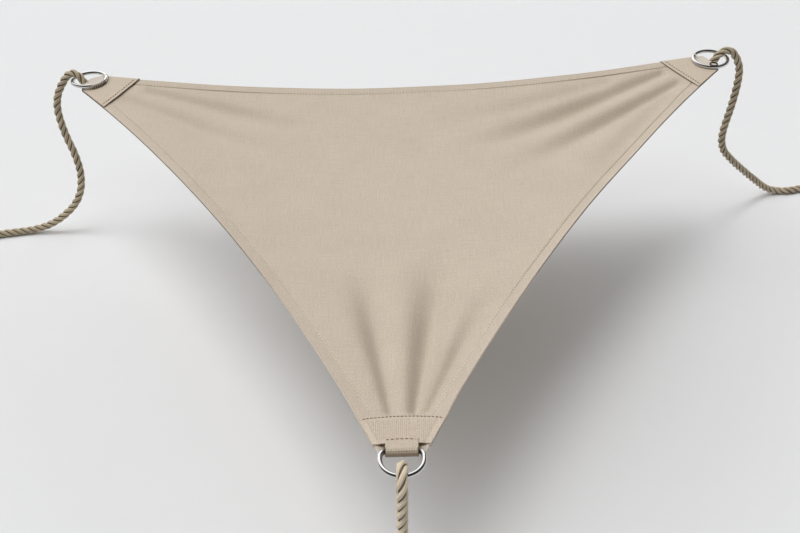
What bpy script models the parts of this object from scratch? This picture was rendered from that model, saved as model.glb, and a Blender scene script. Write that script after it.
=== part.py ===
"""A small triangular canvas shade sail with hollow-cut edges, hung level by its three corners.

Metres, +Z up. The near corner points to -Y, the two far corners lie to the left (-X) and right (+X),
and the origin is the middle of the near corner's D-ring. The sail's own plane is modelled level and
then turned a little about the origin, so that the right corner hangs higher than the other two.
"""
import math

import bmesh
import bpy
import numpy as np
from mathutils import Matrix

MM = 0.001
GAP = 0.3 * MM                      # clearance between pieces that touch

# The three rings
RING_SPAN = 962.6 * MM              # between the middles of the two far rings
RING_REACH = 788.2 * MM             # from the D-ring's middle to the line of the far rings
SAIL_ROLL = 1.965                   # degrees, right corner up
SAIL_PITCH = 1.076                  # degrees, far corners up
WIRE_RADIUS = 2.5 * MM
ROUND_RING_RADIUS = 25.8 * MM       # to the middle of the wire
D_RING_HALF_WIDTH = 22.5 * MM       # to the middle of the wire
D_RING_BAR = 12.2 * MM              # from the D-ring's middle to its straight bar
D_RING_SHOULDER = 6.0 * MM

# The cloth
CLOTH = 1.6 * MM
PATCH = 1.4 * MM
WEBBING = 1.6 * MM
PANEL_LEVEL = -(WIRE_RADIUS + GAP + CLOTH / 2)              # middle of the cloth at its corners
PATCH_LEVEL = PANEL_LEVEL + CLOTH / 2 + GAP + PATCH / 2
ROUND_RING_LEVEL = PATCH_LEVEL + PATCH / 2 + GAP + WIRE_RADIUS
NEAR_TIP_HALF = 23.8 * MM
NEAR_TIP_Y = 10.5 * MM
FAR_TIP_UPPER = (465.0 * MM, 803.0 * MM)                    # ends of the cut-off tips, right-hand side
FAR_TIP_LOWER = (487.5 * MM, 760.5 * MM)
TOP_HOLLOW = 55.6 * MM              # how far the far edge is cut in at its middle
SIDE_HOLLOW = {-1: 32.8 * MM, 1: 28.8 * MM}                 # the same for the left and right edges
SAG = 16.5 * MM                     # at the sail's middle
PANEL_ROWS, PANEL_EDGE_STEPS, PANEL_TIP_STEPS = 36, 32, 4

# Patches, tab and slot of the near corner
PATCH_SHARES = {-1: (0.066, 0.080), 1: (0.064, 0.073)}      # of the far edge, of the side edge
PATCH_OVERHANG = 1.0 * MM
NEAR_PATCH_START = 21.5 * MM
NEAR_PATCH_END = 57.0 * MM
NEAR_PATCH_BOW = 4.5 * MM
TAB_HALF_WIDTH = 16.8 * MM
TAB_TAIL = 27.0 * MM                # how far back the tab's two legs are sewn down
TAB_ROLL = 5.0 * MM                 # radius of the slack turn round the bar, to the webbing's middle
TAB_ROLL_MIDDLE = (11.4 * MM, -1.1 * MM)                    # y and z
SLOT_HALF_WIDTH = 18.0 * MM
SLOT_END = 21.0 * MM

# The ropes
ROPE_RADIUS = 6.2 * MM
ROPE_GROOVE = 4.9 * MM              # radius at the bottom of the grooves between strands
ROPE_LAY = 50.0 * MM                # length of one full turn of a strand
ROPE_STEP = 6.25 * MM
STRANDS = 3
ROPE_LEGS_Y = (-22.6 * MM, -35.4 * MM)                      # tail and standing part at the seizing
SEIZING_TOP = -100.0 * MM
SEIZING_HEIGHT = 20.0 * MM
SEIZING_WALL = 1.2 * MM

# Folds that run from each corner into the cloth. Lengths in mm, headings in degrees from the line to
# the sail's middle. flank: half-width of the steep side, which lies towards the sign of steep.
#          corner   start  side  heading  length  depth  flank  slope  steep
FOLDS = [
    ("near",  62, -14,  -9, 190, 4.5,  5, 10, -1),
    ("near",  62,  12,   5, 205, 5.5,  5, 10, -1),
    ("near",  62,  27,  21, 130, 3.5,  5, 10, -1),
    ("right", 76,  15,  -2, 270, 4.5,  9, 15,  1),
    ("right", 76, -17, -11, 300, 5.5,  9, 15,  1),
    ("right", 120, -44, -22, 210, 2.5, 12, 18, 1),
    ("left",  80, -33,  -7, 260, 2.5, 10, 15,  1),
    ("left",  80,  -5,   4, 220, 2.2, 10, 15,  1),
]

FOLD_RISE = 26.0 * MM               # length over which a fold deepens from its corner
FOLD_SPREAD = 1.1                   # how much wider a fold is at its far end

# Middle line of each rope in mm, from the turned-in tail to the free end
ROUTES = {
    "left": [(-430, 762, -12.1), (-446, 769, -12.3), (-461, 776, -12.6), (-472, 780.5, -12.9),
             (-480, 783.5, -11.8), (-486.5, 785.5, -8), (-491.5, 787, -2.2), (-496, 788.5, 3.6),
             (-500.5, 790, 7.4), (-506, 791.5, 8.9), (-512, 792.5, 7.4), (-518.8, 793, 1.6),
             (-525.7, 793, -8), (-532, 792, -18), (-537, 791, -29), (-540, 790, -40), (-541, 788, -51),
             (-540.5, 786, -63), (-537, 782.5, -85), (-532, 779, -104), (-526.5, 776, -121),
             (-522.5, 773, -138), (-520, 770, -156), (-520.5, 767, -173), (-524, 764, -191),
             (-531.5, 761, -208), (-541.5, 759, -221.5), (-552.5, 757, -232), (-564.5, 755.5, -241.5),
             (-577, 754.5, -249.5), (-592, 754.5, -257), (-609, 753.5, -262), (-626, 751, -264),
             (-645, 747, -264), (-667, 742, -264), (-700, 731, -264), (-728, 718, -264)],
    "right": [(430, 762, 17.2), (446, 769, 17.8), (461, 776, 18.5), (471, 780.8, 19.4), (478.5, 784.3, 21.6),
              (483.5, 787, 26.6), (488, 789, 32.6), (493, 791, 38.2), (499, 793.3, 42.2),
              (505.5, 795.3, 43.4), (512, 797, 42), (519.2, 798, 35.8), (525.9, 799, 25.8),
              (530.1, 799, 16.2), (532.9, 800, 6.3), (534.4, 800.5, -10), (534.3, 801.5, -32),
              (532.8, 802.5, -60), (530.4, 804, -85), (528.9, 805, -105), (530.4, 807, -125),
              (538, 811, -146), (552, 817, -164), (566.6, 823, -180), (583.6, 831, -197.5),
              (601, 839, -215), (618.5, 847.5, -232), (635, 856, -248), (650, 862, -259),
              (668.5, 864.8, -264), (682.5, 864.5, -264), (697.5, 868, -264), (712, 873, -264),
              (740, 886, -264)],
    "near": [(0, -22.6, -136), (0, -22.6, -120), (0, -22.6, -98), (0, -19, -76), (0, -14, -52),
             (0, -10.5, -28), (0, -9.6, -10), (0, -13, 3.8), (0, -22.2, 9.2), (0, -31.5, 4.6),
             (0, -35.6, -8), (0, -36, -26), (0, -36, -60), (0, -35.4, -98), (0, -35.4, -122),
             (0, -35, -160), (0, -35, -200), (2, -36, -226), (9, -40, -246), (22, -48, -259),
             (42, -58, -264), (70, -68, -264), (102, -74, -264), (136, -75, -264), (168, -70, -264)],
}

CANVAS = (0.56, 0.47, 0.36)
PATCH_CANVAS = (0.58, 0.49, 0.38)
WEBBING_COLOUR = (0.52, 0.43, 0.32)
STEEL = (0.78, 0.78, 0.78)
ROPE_COLOUR = (0.42, 0.34, 0.25)
TWINE = (0.46, 0.38, 0.28)


def clear_scene():
    for item in list(bpy.data.objects):
        bpy.data.objects.remove(item, do_unlink=True)


def collection(name):
    made = bpy.data.collections.new(name)
    bpy.context.scene.collection.children.link(made)
    return made


def material(name, colour, roughness, metallic=0.0):
    made = bpy.data.materials.new(name)
    made.use_nodes = True
    shader = made.node_tree.nodes["Principled BSDF"]
    shader.inputs["Base Color"].default_value = (*colour, 1.0)
    shader.inputs["Roughness"].default_value = roughness
    shader.inputs["Metallic"].default_value = metallic
    return made


def smooth_step(x):
    """0 up to x = 0, 1 from x = 1, level at both ends."""
    x = np.clip(x, 0.0, 1.0)
    return x ** 3 * (10 - 15 * x + 6 * x * x)


def crowded(x, amount=0.085):
    """Steps from 0 to 1 that lie closer together at both ends."""
    return x - amount * np.sin(2 * np.pi * x)


# ---------------------------------------------------------------- the sail's surface

CORNERS = {
    "near": np.array([0.0, 0.0]),
    "left": np.array([-RING_SPAN / 2, RING_REACH]),
    "right": np.array([RING_SPAN / 2, RING_REACH]),
}
MIDDLE = sum(CORNERS.values()) / 3


def corner_axes(corner):
    """Unit vectors in plan: from the ring into the cloth, and a quarter turn to its left or right."""
    inward = MIDDLE - CORNERS[corner]
    inward = inward / np.linalg.norm(inward)
    return inward, np.array([inward[1], -inward[0]])


def top_edge(u):
    """Far edge in plan, from its left end at u = 0 to its right end at u = 1."""
    x = FAR_TIP_UPPER[0] * (2 * u - 1)
    y = FAR_TIP_UPPER[1] - TOP_HOLLOW * 4 * u * (1 - u)
    return np.stack([x, y], -1)


def side_edge(v, side):
    """Left (side = -1) or right (side = 1) edge in plan, from the near tip at v = 0 to the far tip."""
    start = np.array([side * NEAR_TIP_HALF, NEAR_TIP_Y])
    end = np.array([side * FAR_TIP_LOWER[0], FAR_TIP_LOWER[1]])
    along = (end - start) / np.linalg.norm(end - start)
    inward = np.array([-side * along[1], side * along[0]])
    v = np.asarray(v)[..., None]
    return start + (end - start) * v + inward * SIDE_HOLLOW[side] * 4 * v * (1 - v)


def cloth_height(plan):
    """Middle of the cloth over a plan point: sagging towards the middle of the rings, and folded."""
    far = plan[..., 1] / RING_REACH
    lean = plan[..., 0] / (RING_SPAN / 2)
    shares = [np.clip(share, 0, None) for share in (1 - far, (far - lean) / 2, (far + lean) / 2)]
    height = PANEL_LEVEL - SAG * 27 * shares[0] * shares[1] * shares[2]
    for corner, start, side, heading, length, depth, flank, slope, steep in FOLDS:
        inward, across = corner_axes(corner)
        offset = plan - CORNERS[corner]
        along = offset @ inward - start * MM
        beside = offset @ across - side * MM - along * math.tan(math.radians(heading))
        reach = along / (length * MM)
        width = np.where(beside * steep > 0, flank, slope) * MM * (1 + FOLD_SPREAD * np.clip(reach, 0, 1))
        rise = smooth_step(along / FOLD_RISE) * (1 - smooth_step(reach))
        height = height - depth * MM * rise * np.exp(-(beside / width) ** 2 / 2)
    return height


def sheet_object(name, plan, height, thickness, group, paint, parent):
    """A sheet of even thickness about the grid of points plan[i, j] at the given heights."""
    rows, columns = plan.shape[:2]
    mesh = bpy.data.meshes.new(name)
    bm = bmesh.new()
    bmesh.ops.create_grid(bm, x_segments=columns - 1, y_segments=rows - 1, size=1.0)
    bm.verts.ensure_lookup_table()
    for vert in bm.verts:
        j = round((vert.co.x + 1) / 2 * (columns - 1))
        i = round((vert.co.y + 1) / 2 * (rows - 1))
        vert.co = (*plan[i, j], height[i, j])
    bmesh.ops.recalc_face_normals(bm, faces=bm.faces)
    bm.to_mesh(mesh)
    bm.free()
    made = bpy.data.objects.new(name, mesh)
    group.objects.link(made)
    made.parent = parent
    mesh.materials.append(paint)
    mesh.shade_smooth()
    wall = made.modifiers.new("thickness", "SOLIDIFY")
    wall.thickness = thickness
    wall.offset = 0.0
    return made


def sail_panel(group, cutters, paint, parent):
    """Rows run across from edge to edge, from the near tip to the far edge with its two cut-off tips."""
    tip = np.linspace(0, 1, PANEL_TIP_STEPS + 1)[:, None]
    upper, lower = np.array(FAR_TIP_UPPER), np.array(FAR_TIP_LOWER)
    right_tip = upper + (lower - upper) * tip
    left_tip = (right_tip * (-1, 1))[::-1]
    edge = top_edge(crowded(np.linspace(0, 1, PANEL_EDGE_STEPS + 1)))
    far = np.concatenate([left_tip, edge[1:-1], right_tip])
    across = np.linspace(0, 1, len(far))[None, :, None]
    up = crowded(np.linspace(0, 1, PANEL_ROWS + 1))[:, None, None]
    near = np.concatenate([NEAR_TIP_HALF * (2 * across - 1), np.full_like(across, NEAR_TIP_Y)], -1)
    straight = near * (1 - up) + far[None] * up
    levels = up[:, 0, 0]
    for side, share in ((-1, 1 - across), (1, across)):
        start, end = np.array([side * NEAR_TIP_HALF, NEAR_TIP_Y]), lower * (side, 1)
        chord = start + (end - start) * levels[:, None]
        straight = straight + (side_edge(levels, side) - chord)[:, None, :] * share
    panel = sheet_object("sail_panel", straight, cloth_height(straight), CLOTH, group, paint, parent)

    bpy.ops.mesh.primitive_cube_add(size=1.0)
    slot = bpy.context.object
    slot.name = "tab_slot_cutter"
    slot.data.transform(Matrix.Diagonal((2 * SLOT_HALF_WIDTH, SLOT_END, 20 * MM, 1.0)))
    slot.data.transform(Matrix.Translation((0, SLOT_END / 2, 0)))
    for user in list(slot.users_collection):
        user.objects.unlink(slot)
    cutters.objects.link(slot)
    slot.parent = parent
    slot.hide_render = True
    slot.display_type = "WIRE"
    cut = panel.modifiers.new("tab slot", "BOOLEAN")
    cut.operation = "DIFFERENCE"
    cut.object = slot
    return panel


def patch_grid(start_left, start_right, end_left, end_right, rows, columns, bow=0.0):
    """Points between a patch's tip side and its inner side, which bows out by bow."""
    v = np.linspace(0, 1, rows + 1)[:, None, None]
    u = np.linspace(0, 1, columns + 1)[None, :, None]
    left = start_left + (end_left - start_left) * v
    right = start_right + (end_right - start_right) * v
    inward = (end_left + end_right - start_left - start_right)
    inward = inward / np.linalg.norm(inward)
    return left + (right - left) * u + inward * bow * v * 4 * u * (1 - u)


def overhung(left, right):
    """The two ends of a patch's side, moved out past the cloth's edges."""
    out = (right - left) / np.linalg.norm(right - left) * PATCH_OVERHANG
    return left - out, right + out


def far_patch(name, side, group, paint, parent):
    """Patch over a far corner, from its cut-off tip to a seam across the cloth."""
    mirror = np.array([side, 1.0])
    top_share, side_share = PATCH_SHARES[side]
    on_top = top_edge(np.array(1 - top_share)) * mirror
    on_side = side_edge(np.array(1 - side_share), side)
    start = overhung(np.array(FAR_TIP_LOWER) * mirror, np.array(FAR_TIP_UPPER) * mirror)
    end = overhung(on_side, on_top)
    plan = patch_grid(*start, *end, 6, 6)
    height = cloth_height(plan) + PATCH_LEVEL - PANEL_LEVEL
    return sheet_object(name, plan, height, PATCH, group, paint, parent)


def near_patch(group, paint, parent):
    """Patch over the near corner. Its tip side runs straight across, beside the tab."""
    rows = []
    for y in (NEAR_PATCH_START, NEAR_PATCH_END):
        ends = []
        for side in (-1, 1):
            edge = side_edge(np.linspace(0, 0.12, 200), side)
            ends.append(np.array([np.interp(y, edge[:, 1], edge[:, 0]), y]))
        rows.append(overhung(*ends))
    start, end = rows
    plan = patch_grid(*start, *end, 6, 10, NEAR_PATCH_BOW)
    height = cloth_height(plan) + PATCH_LEVEL - PANEL_LEVEL
    return sheet_object("patch_near", plan, height, PATCH, group, paint, parent)


def webbing_tab(group, paint, parent):
    """Webbing that runs over the patch, round the D-ring's bar with some slack and back under the cloth."""
    over = PATCH_LEVEL + PATCH / 2 + GAP + WEBBING / 2
    under = PANEL_LEVEL - CLOTH / 2 - GAP - WEBBING / 2
    roll_y, roll_z = TAB_ROLL_MIDDLE
    profile = [(TAB_TAIL, over), (24 * MM, over), (21.5 * MM, over + 0.1 * MM), (18.5 * MM, over + 1.3 * MM),
               (15.6 * MM, over + 2.9 * MM)]
    for turn in np.radians(np.linspace(72, 270, 14)):
        profile.append((roll_y + TAB_ROLL * math.cos(turn), roll_z + TAB_ROLL * math.sin(turn)))
    profile += [(15 * MM, under - 0.5 * MM), (18.5 * MM, under - 0.2 * MM), (22 * MM, under),
                (TAB_TAIL, under)]
    plan = np.array([[(x, y) for x in (-TAB_HALF_WIDTH, 0, TAB_HALF_WIDTH)] for y, z in profile])
    height = np.array([[z] * 3 for y, z in profile])
    return sheet_object("webbing_tab", plan, height, WEBBING, group, paint, parent)


# ---------------------------------------------------------------- rings

def closed_wire(name, points, radius, group, paint, parent):
    """Round wire along a closed line of points."""
    curve = bpy.data.curves.new(name, "CURVE")
    curve.dimensions = "3D"
    curve.bevel_depth = radius
    curve.bevel_resolution = 3
    spline = curve.splines.new("POLY")
    spline.points.add(len(points) - 1)
    for point, place in zip(spline.points, points):
        point.co = (*place, 1.0)
    spline.use_cyclic_u = True
    spline.use_smooth = True
    curve.materials.append(paint)
    made = bpy.data.objects.new(name, curve)
    group.objects.link(made)
    made.parent = parent
    return made


def arc(middle, radius, start, end, steps):
    """Points of a level arc, angles in degrees."""
    turns = np.radians(np.linspace(start, end, steps + 1))
    return [(middle[0] + radius * math.cos(turn), middle[1] + radius * math.sin(turn), 0.0) for turn in turns]


def d_ring(group, paint, parent):
    """Half round towards the rope, with a straight bar in the tab and rounded shoulders."""
    half, shoulder = D_RING_HALF_WIDTH, D_RING_SHOULDER
    shoulder_x, shoulder_y = half - shoulder, D_RING_BAR - shoulder
    outline = arc((0, 0), half, 180, 360, 24)
    outline += arc((shoulder_x, shoulder_y), shoulder, 0, 90, 6)
    outline += arc((-shoulder_x, shoulder_y), shoulder, 90, 180, 6)
    return closed_wire("d_ring", outline, WIRE_RADIUS, group, paint, parent)


def round_ring(name, corner, group, paint, parent):
    """Welded round ring that lies on the corner's patch."""
    bpy.ops.mesh.primitive_torus_add(major_radius=ROUND_RING_RADIUS, minor_radius=WIRE_RADIUS,
                                     major_segments=44, minor_segments=10)
    ring = bpy.context.object
    ring.name = name
    for user in list(ring.users_collection):
        user.objects.unlink(ring)
    group.objects.link(ring)
    ring.parent = parent
    ring.location = (*CORNERS[corner], ROUND_RING_LEVEL)
    ring.data.materials.append(paint)
    ring.data.shade_smooth()
    return ring


# ---------------------------------------------------------------- ropes

def smooth_line(points, step):
    """Points a step apart on a smooth curve through the route's own points."""
    route = np.array(points, float)
    before = np.vstack([2 * route[0] - route[1], route[:-1]])
    after = np.vstack([route[1:], 2 * route[-1] - route[-2]])
    lean = (after - before) / 2
    share = np.linspace(0, 1, 24, endpoint=False)[None, :, None]
    here, there = route[:-1, None], route[1:, None]
    lean_here, lean_there = lean[:-1, None], lean[1:, None]
    dense = ((2 * share ** 3 - 3 * share ** 2 + 1) * here + (share ** 3 - 2 * share ** 2 + share) * lean_here
             + (3 * share ** 2 - 2 * share ** 3) * there + (share ** 3 - share ** 2) * lean_there)
    dense = np.vstack([dense.reshape(-1, 3), route[-1]])
    run = np.concatenate([[0], np.cumsum(np.linalg.norm(np.diff(dense, axis=0), axis=1))])
    places = np.linspace(0, run[-1], round(run[-1] / step) + 1)
    return np.stack([np.interp(places, run, dense[:, k]) for k in range(3)], -1), places


def strand_profile(group):
    """Cross-section of a three-strand rope: three round lobes with grooves between them."""
    curve = bpy.data.curves.new("rope_section", "CURVE")
    curve.dimensions = "2D"
    spline = curve.splines.new("POLY")
    corners = 4 * STRANDS
    spline.points.add(corners - 1)
    for k, point in enumerate(spline.points):
        turn = 2 * math.pi * k / corners
        lobe = (1 + math.cos(STRANDS * turn)) / 2
        radius = ROPE_GROOVE + (ROPE_RADIUS - ROPE_GROOVE) * lobe ** 0.6
        point.co = (radius * math.cos(turn), radius * math.sin(turn), 0.0, 1.0)
    spline.use_cyclic_u = True
    section = bpy.data.objects.new("rope_section", curve)
    group.objects.link(section)
    section.hide_render = True
    section.display_type = "WIRE"
    return section


def rope(name, route, section, group, paint):
    """Twisted rope along a route given in mm. The twist is the tilt of each point."""
    line, run = smooth_line(np.array(route) * MM, ROPE_STEP)
    curve = bpy.data.curves.new(name, "CURVE")
    curve.dimensions = "3D"
    curve.twist_mode = "MINIMUM"
    curve.bevel_mode = "OBJECT"
    curve.bevel_object = section
    curve.use_fill_caps = True
    spline = curve.splines.new("POLY")
    spline.points.add(len(line) - 1)
    for point, place, distance in zip(spline.points, line, run):
        point.co = (*place, 1.0)
        point.tilt = 2 * math.pi * distance / ROPE_LAY
    spline.use_smooth = True
    swept = bpy.data.objects.new(name, curve)
    group.objects.link(swept)
    return as_mesh(swept, name, group, paint)


def as_mesh(swept, name, group, paint):
    """A swept curve made into one closed mesh with its faces outward."""
    bpy.context.view_layer.update()
    mesh = bpy.data.meshes.new_from_object(swept.evaluated_get(bpy.context.evaluated_depsgraph_get()))
    mesh.transform(swept.matrix_world)
    bpy.data.objects.remove(swept, do_unlink=True)
    bm = bmesh.new()
    bm.from_mesh(mesh)
    bmesh.ops.remove_doubles(bm, verts=bm.verts, dist=0.01 * MM)
    bmesh.ops.recalc_face_normals(bm, faces=bm.faces)
    bm.to_mesh(mesh)
    bm.free()
    mesh.name = name
    mesh.materials.clear()
    mesh.materials.append(paint)
    made = bpy.data.objects.new(name, mesh)
    group.objects.link(made)
    return made


def seizing(group, paint):
    """Band of twine round the near rope's tail and standing part."""
    curve = bpy.data.curves.new("seizing_near", "CURVE")
    curve.dimensions = "2D"
    curve.fill_mode = "BOTH"
    curve.extrude = SEIZING_HEIGHT / 2
    middle_y, half_y = sum(ROPE_LEGS_Y) / 2, abs(ROPE_LEGS_Y[0] - ROPE_LEGS_Y[1]) / 2
    inner = ROPE_RADIUS + GAP
    for radius in (inner + SEIZING_WALL, inner):
        outline = arc((0, half_y), radius, 0, 180, 14) + arc((0, -half_y), radius, 180, 360, 14)
        spline = curve.splines.new("POLY")
        spline.points.add(len(outline) - 1)
        for point, place in zip(spline.points, outline):
            point.co = (*place, 1.0)
        spline.use_cyclic_u = True
    curve.materials.append(paint)
    made = bpy.data.objects.new("seizing_near", curve)
    group.objects.link(made)
    made.location = (0, middle_y, SEIZING_TOP - SEIZING_HEIGHT / 2)
    return made


def main():
    clear_scene()
    sail = collection("shade_sail")
    cutters = collection("cutters")
    plane = bpy.data.objects.new("sail_plane", None)
    sail.objects.link(plane)
    plane.matrix_world = (Matrix.Rotation(math.radians(-SAIL_ROLL), 4, "Y")
                          @ Matrix.Rotation(math.radians(SAIL_PITCH), 4, "X"))

    canvas = material("canvas", CANVAS, 0.9)
    patch_canvas = material("patch_canvas", PATCH_CANVAS, 0.9)
    webbing = material("webbing", WEBBING_COLOUR, 0.85)
    steel = material("polished_steel", STEEL, 0.15, 1.0)
    rope_yarn = material("rope_yarn", ROPE_COLOUR, 0.85)
    twine = material("twine", TWINE, 0.8)

    sail_panel(sail, cutters, canvas, plane)
    far_patch("patch_left", -1, sail, patch_canvas, plane)
    far_patch("patch_right", 1, sail, patch_canvas, plane)
    near_patch(sail, patch_canvas, plane)
    webbing_tab(sail, webbing, plane)
    d_ring(sail, steel, plane)
    round_ring("ring_left", "left", sail, steel, plane)
    round_ring("ring_right", "right", sail, steel, plane)

    section = strand_profile(cutters)
    for corner, route in ROUTES.items():
        rope(f"rope_{corner}", route, section, sail, rope_yarn)
    seizing(sail, twine)


main()
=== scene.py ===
"""Looks of a small triangular canvas shade sail, hung level by three ropes over a pale floor.

Metres, +Z up. The near corner points to -Y, the far corners lie left (-X) and right (+X), and the
origin is the middle of the near corner's D-ring. Sheets and rings are worked out in the sail's own
plane, where z is nearly the height of the cloth, and then turned with it about the origin.
"""
from __future__ import annotations

import logging
import math
from dataclasses import dataclass, field
from enum import Enum
from functools import lru_cache

import bpy
import numpy as np
from mathutils import Matrix, Vector


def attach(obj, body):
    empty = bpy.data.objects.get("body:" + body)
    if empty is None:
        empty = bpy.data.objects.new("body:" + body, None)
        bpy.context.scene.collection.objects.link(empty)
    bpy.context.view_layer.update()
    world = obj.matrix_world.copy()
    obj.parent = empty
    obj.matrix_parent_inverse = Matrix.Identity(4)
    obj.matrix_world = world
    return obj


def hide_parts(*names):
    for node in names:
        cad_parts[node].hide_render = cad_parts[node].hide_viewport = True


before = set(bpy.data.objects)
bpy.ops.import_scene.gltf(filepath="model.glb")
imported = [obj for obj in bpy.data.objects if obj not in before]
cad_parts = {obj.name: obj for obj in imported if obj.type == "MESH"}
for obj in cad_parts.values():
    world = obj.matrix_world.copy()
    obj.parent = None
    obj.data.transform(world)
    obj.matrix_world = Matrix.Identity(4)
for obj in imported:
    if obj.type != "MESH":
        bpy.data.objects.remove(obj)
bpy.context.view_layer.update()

Array = np.ndarray
Colour = tuple[float, float, float]
MM = 0.001
UP = np.array([0.0, 0.0, 1.0])
SIDES = {-1: "left", 1: "right"}
LOG = logging.getLogger("shade_sail")


class Corner(Enum):
    """The sail's three corners."""

    NEAR = "near"
    LEFT = "left"
    RIGHT = "right"


# ---------------------------------------------------------------- numbers and surfaces

def unit(vectors: Array) -> Array:
    """Vectors divided by their own lengths, along the last axis."""
    return vectors / np.linalg.norm(vectors, axis=-1, keepdims=True)


def smooth_step(x: Array) -> Array:
    """x³(10 - 15x + 6x²), with x held between 0 and 1."""
    x = np.clip(x, 0.0, 1.0)
    return x ** 3 * (10 - 15 * x + 6 * x * x)


def bell(x: Array, middle: float, width: float) -> Array:
    """exp(-((x - middle) / width)²), a rounded hump of height 1."""
    return np.exp(-((x - middle) / width) ** 2)


@dataclass
class Surface:
    """Points and faces of one piece before it becomes a mesh.

    points is (n, 3). quads is (f, 4) and caps a list of polygons, both of point numbers. uv is
    (f, 4, 2), a place on the material for each quad's corners. marks are named values of the points.
    """

    points: Array
    quads: Array
    uv: Array
    marks: dict[str, Array] = field(default_factory=dict)
    caps: list[list[int]] = field(default_factory=list)

    @classmethod
    def grid(cls, points: Array, uv: Array, around: bool = False, looped: bool = False,
             capped: bool = False, marks: dict[str, Array] | None = None,
             keep: Array | None = None) -> Surface:
        """Quads between neighbours of a grid: (i, j), (i, j + 1), (i + 1, j + 1), (i + 1, j).

        Args:
            points: (rows, columns, 3) places.
            uv: (rows + looped, columns + around, 2) places on the material.
            around: whether the last column joins the first.
            looped: whether the last row joins the first.
            capped: whether the first and last rows are closed by a polygon.
            marks: (rows, columns) values by name.
            keep: (rows - 1, columns - 1) booleans, false where a quad is left out.

        Returns:
            The surface, its closed form facing outwards.
        """
        rows, columns = points.shape[:2]
        i, j = np.meshgrid(np.arange(rows - (not looped)), np.arange(columns - (not around)), indexing="ij")
        corner_i = np.stack([i, i, i + 1, i + 1], -1)
        corner_j = np.stack([j, j + 1, j + 1, j], -1)
        quads = (corner_i % rows) * columns + corner_j % columns
        spread = uv[corner_i, corner_j]
        chosen = np.ones(i.shape, bool) if keep is None else keep
        made = cls(points.reshape(-1, 3), quads[chosen], spread[chosen],
                   {name: values.reshape(-1) for name, values in (marks or {}).items()})
        if capped:
            made.caps = [list(range(columns))[::-1], list(range((rows - 1) * columns, rows * columns))]
        if keep is not None:
            made = made.trimmed()
        return made.outward() if around else made

    @classmethod
    def joined(cls, parts: list[Surface]) -> Surface:
        """Several surfaces as one, without welding them.

        Args:
            parts: surfaces that carry the same marks.

        Returns:
            One surface of all their points and faces.
        """
        starts = np.cumsum([0] + [len(part.points) for part in parts[:-1]])
        return cls(np.concatenate([part.points for part in parts]),
                   np.concatenate([part.quads + start for part, start in zip(parts, starts)]),
                   np.concatenate([part.uv for part in parts]),
                   {name: np.concatenate([part.marks[name] for part in parts]) for name in parts[0].marks},
                   [[int(n + start) for n in cap] for part, start in zip(parts, starts) for cap in part.caps])

    def trimmed(self) -> Surface:
        """Leaves out the points that no face uses.

        Returns:
            The same faces on the points that are left.
        """
        used = np.zeros(len(self.points), bool)
        used[self.quads] = True
        number = np.cumsum(used) - 1
        return Surface(self.points[used], number[self.quads], self.uv,
                       {name: values[used] for name, values in self.marks.items()}, self.caps)

    def flipped(self) -> Surface:
        """The surface with its faces turned over."""
        return Surface(self.points, self.quads[:, ::-1], self.uv[:, ::-1], self.marks,
                       [cap[::-1] for cap in self.caps])

    def outward(self) -> Surface:
        """Turns a closed surface outwards, by the sign of its volume: the sum of a·(b × c) / 6 over its
        triangles.

        Returns:
            The surface itself, or flipped.
        """
        a, b, c, d = (self.points[self.quads[:, k]] for k in range(4))
        volume = np.sum(a * np.cross(b, c)) + np.sum(a * np.cross(c, d))
        return self if volume >= 0 else self.flipped()

    def repeated(self, origins: Array, along: Array, across: Array, up: Array) -> Surface:
        """Copies of this shape: origin + x·along + y·across + z·up.

        Args:
            origins: (n, 3) places of the copies.
            along: (n, 3) directions of the shape's x.
            across: (n, 3) directions of its y.
            up: (n, 3) directions of its z.

        Returns:
            All copies as one surface.
        """
        x, y, z = (self.points[None, :, k, None] for k in range(3))
        places = origins[:, None] + x * along[:, None] + y * across[:, None] + z * up[:, None]
        count, size = len(origins), len(self.points)
        quads = self.quads[None] + (np.arange(count) * size)[:, None, None]
        caps = [[n + k * size for n in cap] for k in range(count) for cap in self.caps]
        return Surface(places.reshape(-1, 3), quads.reshape(-1, 4), np.tile(self.uv, (count, 1, 1)),
                       {name: np.tile(values, count) for name, values in self.marks.items()}, caps)

    def piece(self, name: str, finish: Finish, slot: str, thickness: float = 0.0) -> bpy.types.Object:
        """Makes the surface a named, dressed object that rides on the sail.

        Args:
            name: the piece's name.
            finish: what it is made of.
            slot: the record's material slot; not used.
            thickness: wall of a sheet, about the surface; 0 for a closed shape.

        Returns:
            The new object.
        """
        mesh = bpy.data.meshes.new(name)
        mesh.from_pydata(self.points.tolist(), [], self.quads.tolist() + self.caps)
        loops = np.zeros((len(mesh.loops), 2))
        loops[:self.quads.size] = self.uv.reshape(-1, 2)
        mesh.uv_layers.new(name="UVMap").data.foreach_set("uv", loops.ravel())
        for mark, values in self.marks.items():
            mesh.attributes.new(mark, "FLOAT", "POINT").data.foreach_set("value", values)
        mesh.materials.append(material_of(finish))
        mesh.shade_smooth()
        made = bpy.data.objects.new(name, mesh)
        bpy.context.scene.collection.objects.link(made)
        if thickness:
            wall = made.modifiers.new("thickness", "SOLIDIFY")
            wall.thickness, wall.offset = thickness, 0.0
        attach(made, "root")
        LOG.info("%s: %d faces", name, len(mesh.polygons))
        return made


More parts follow.
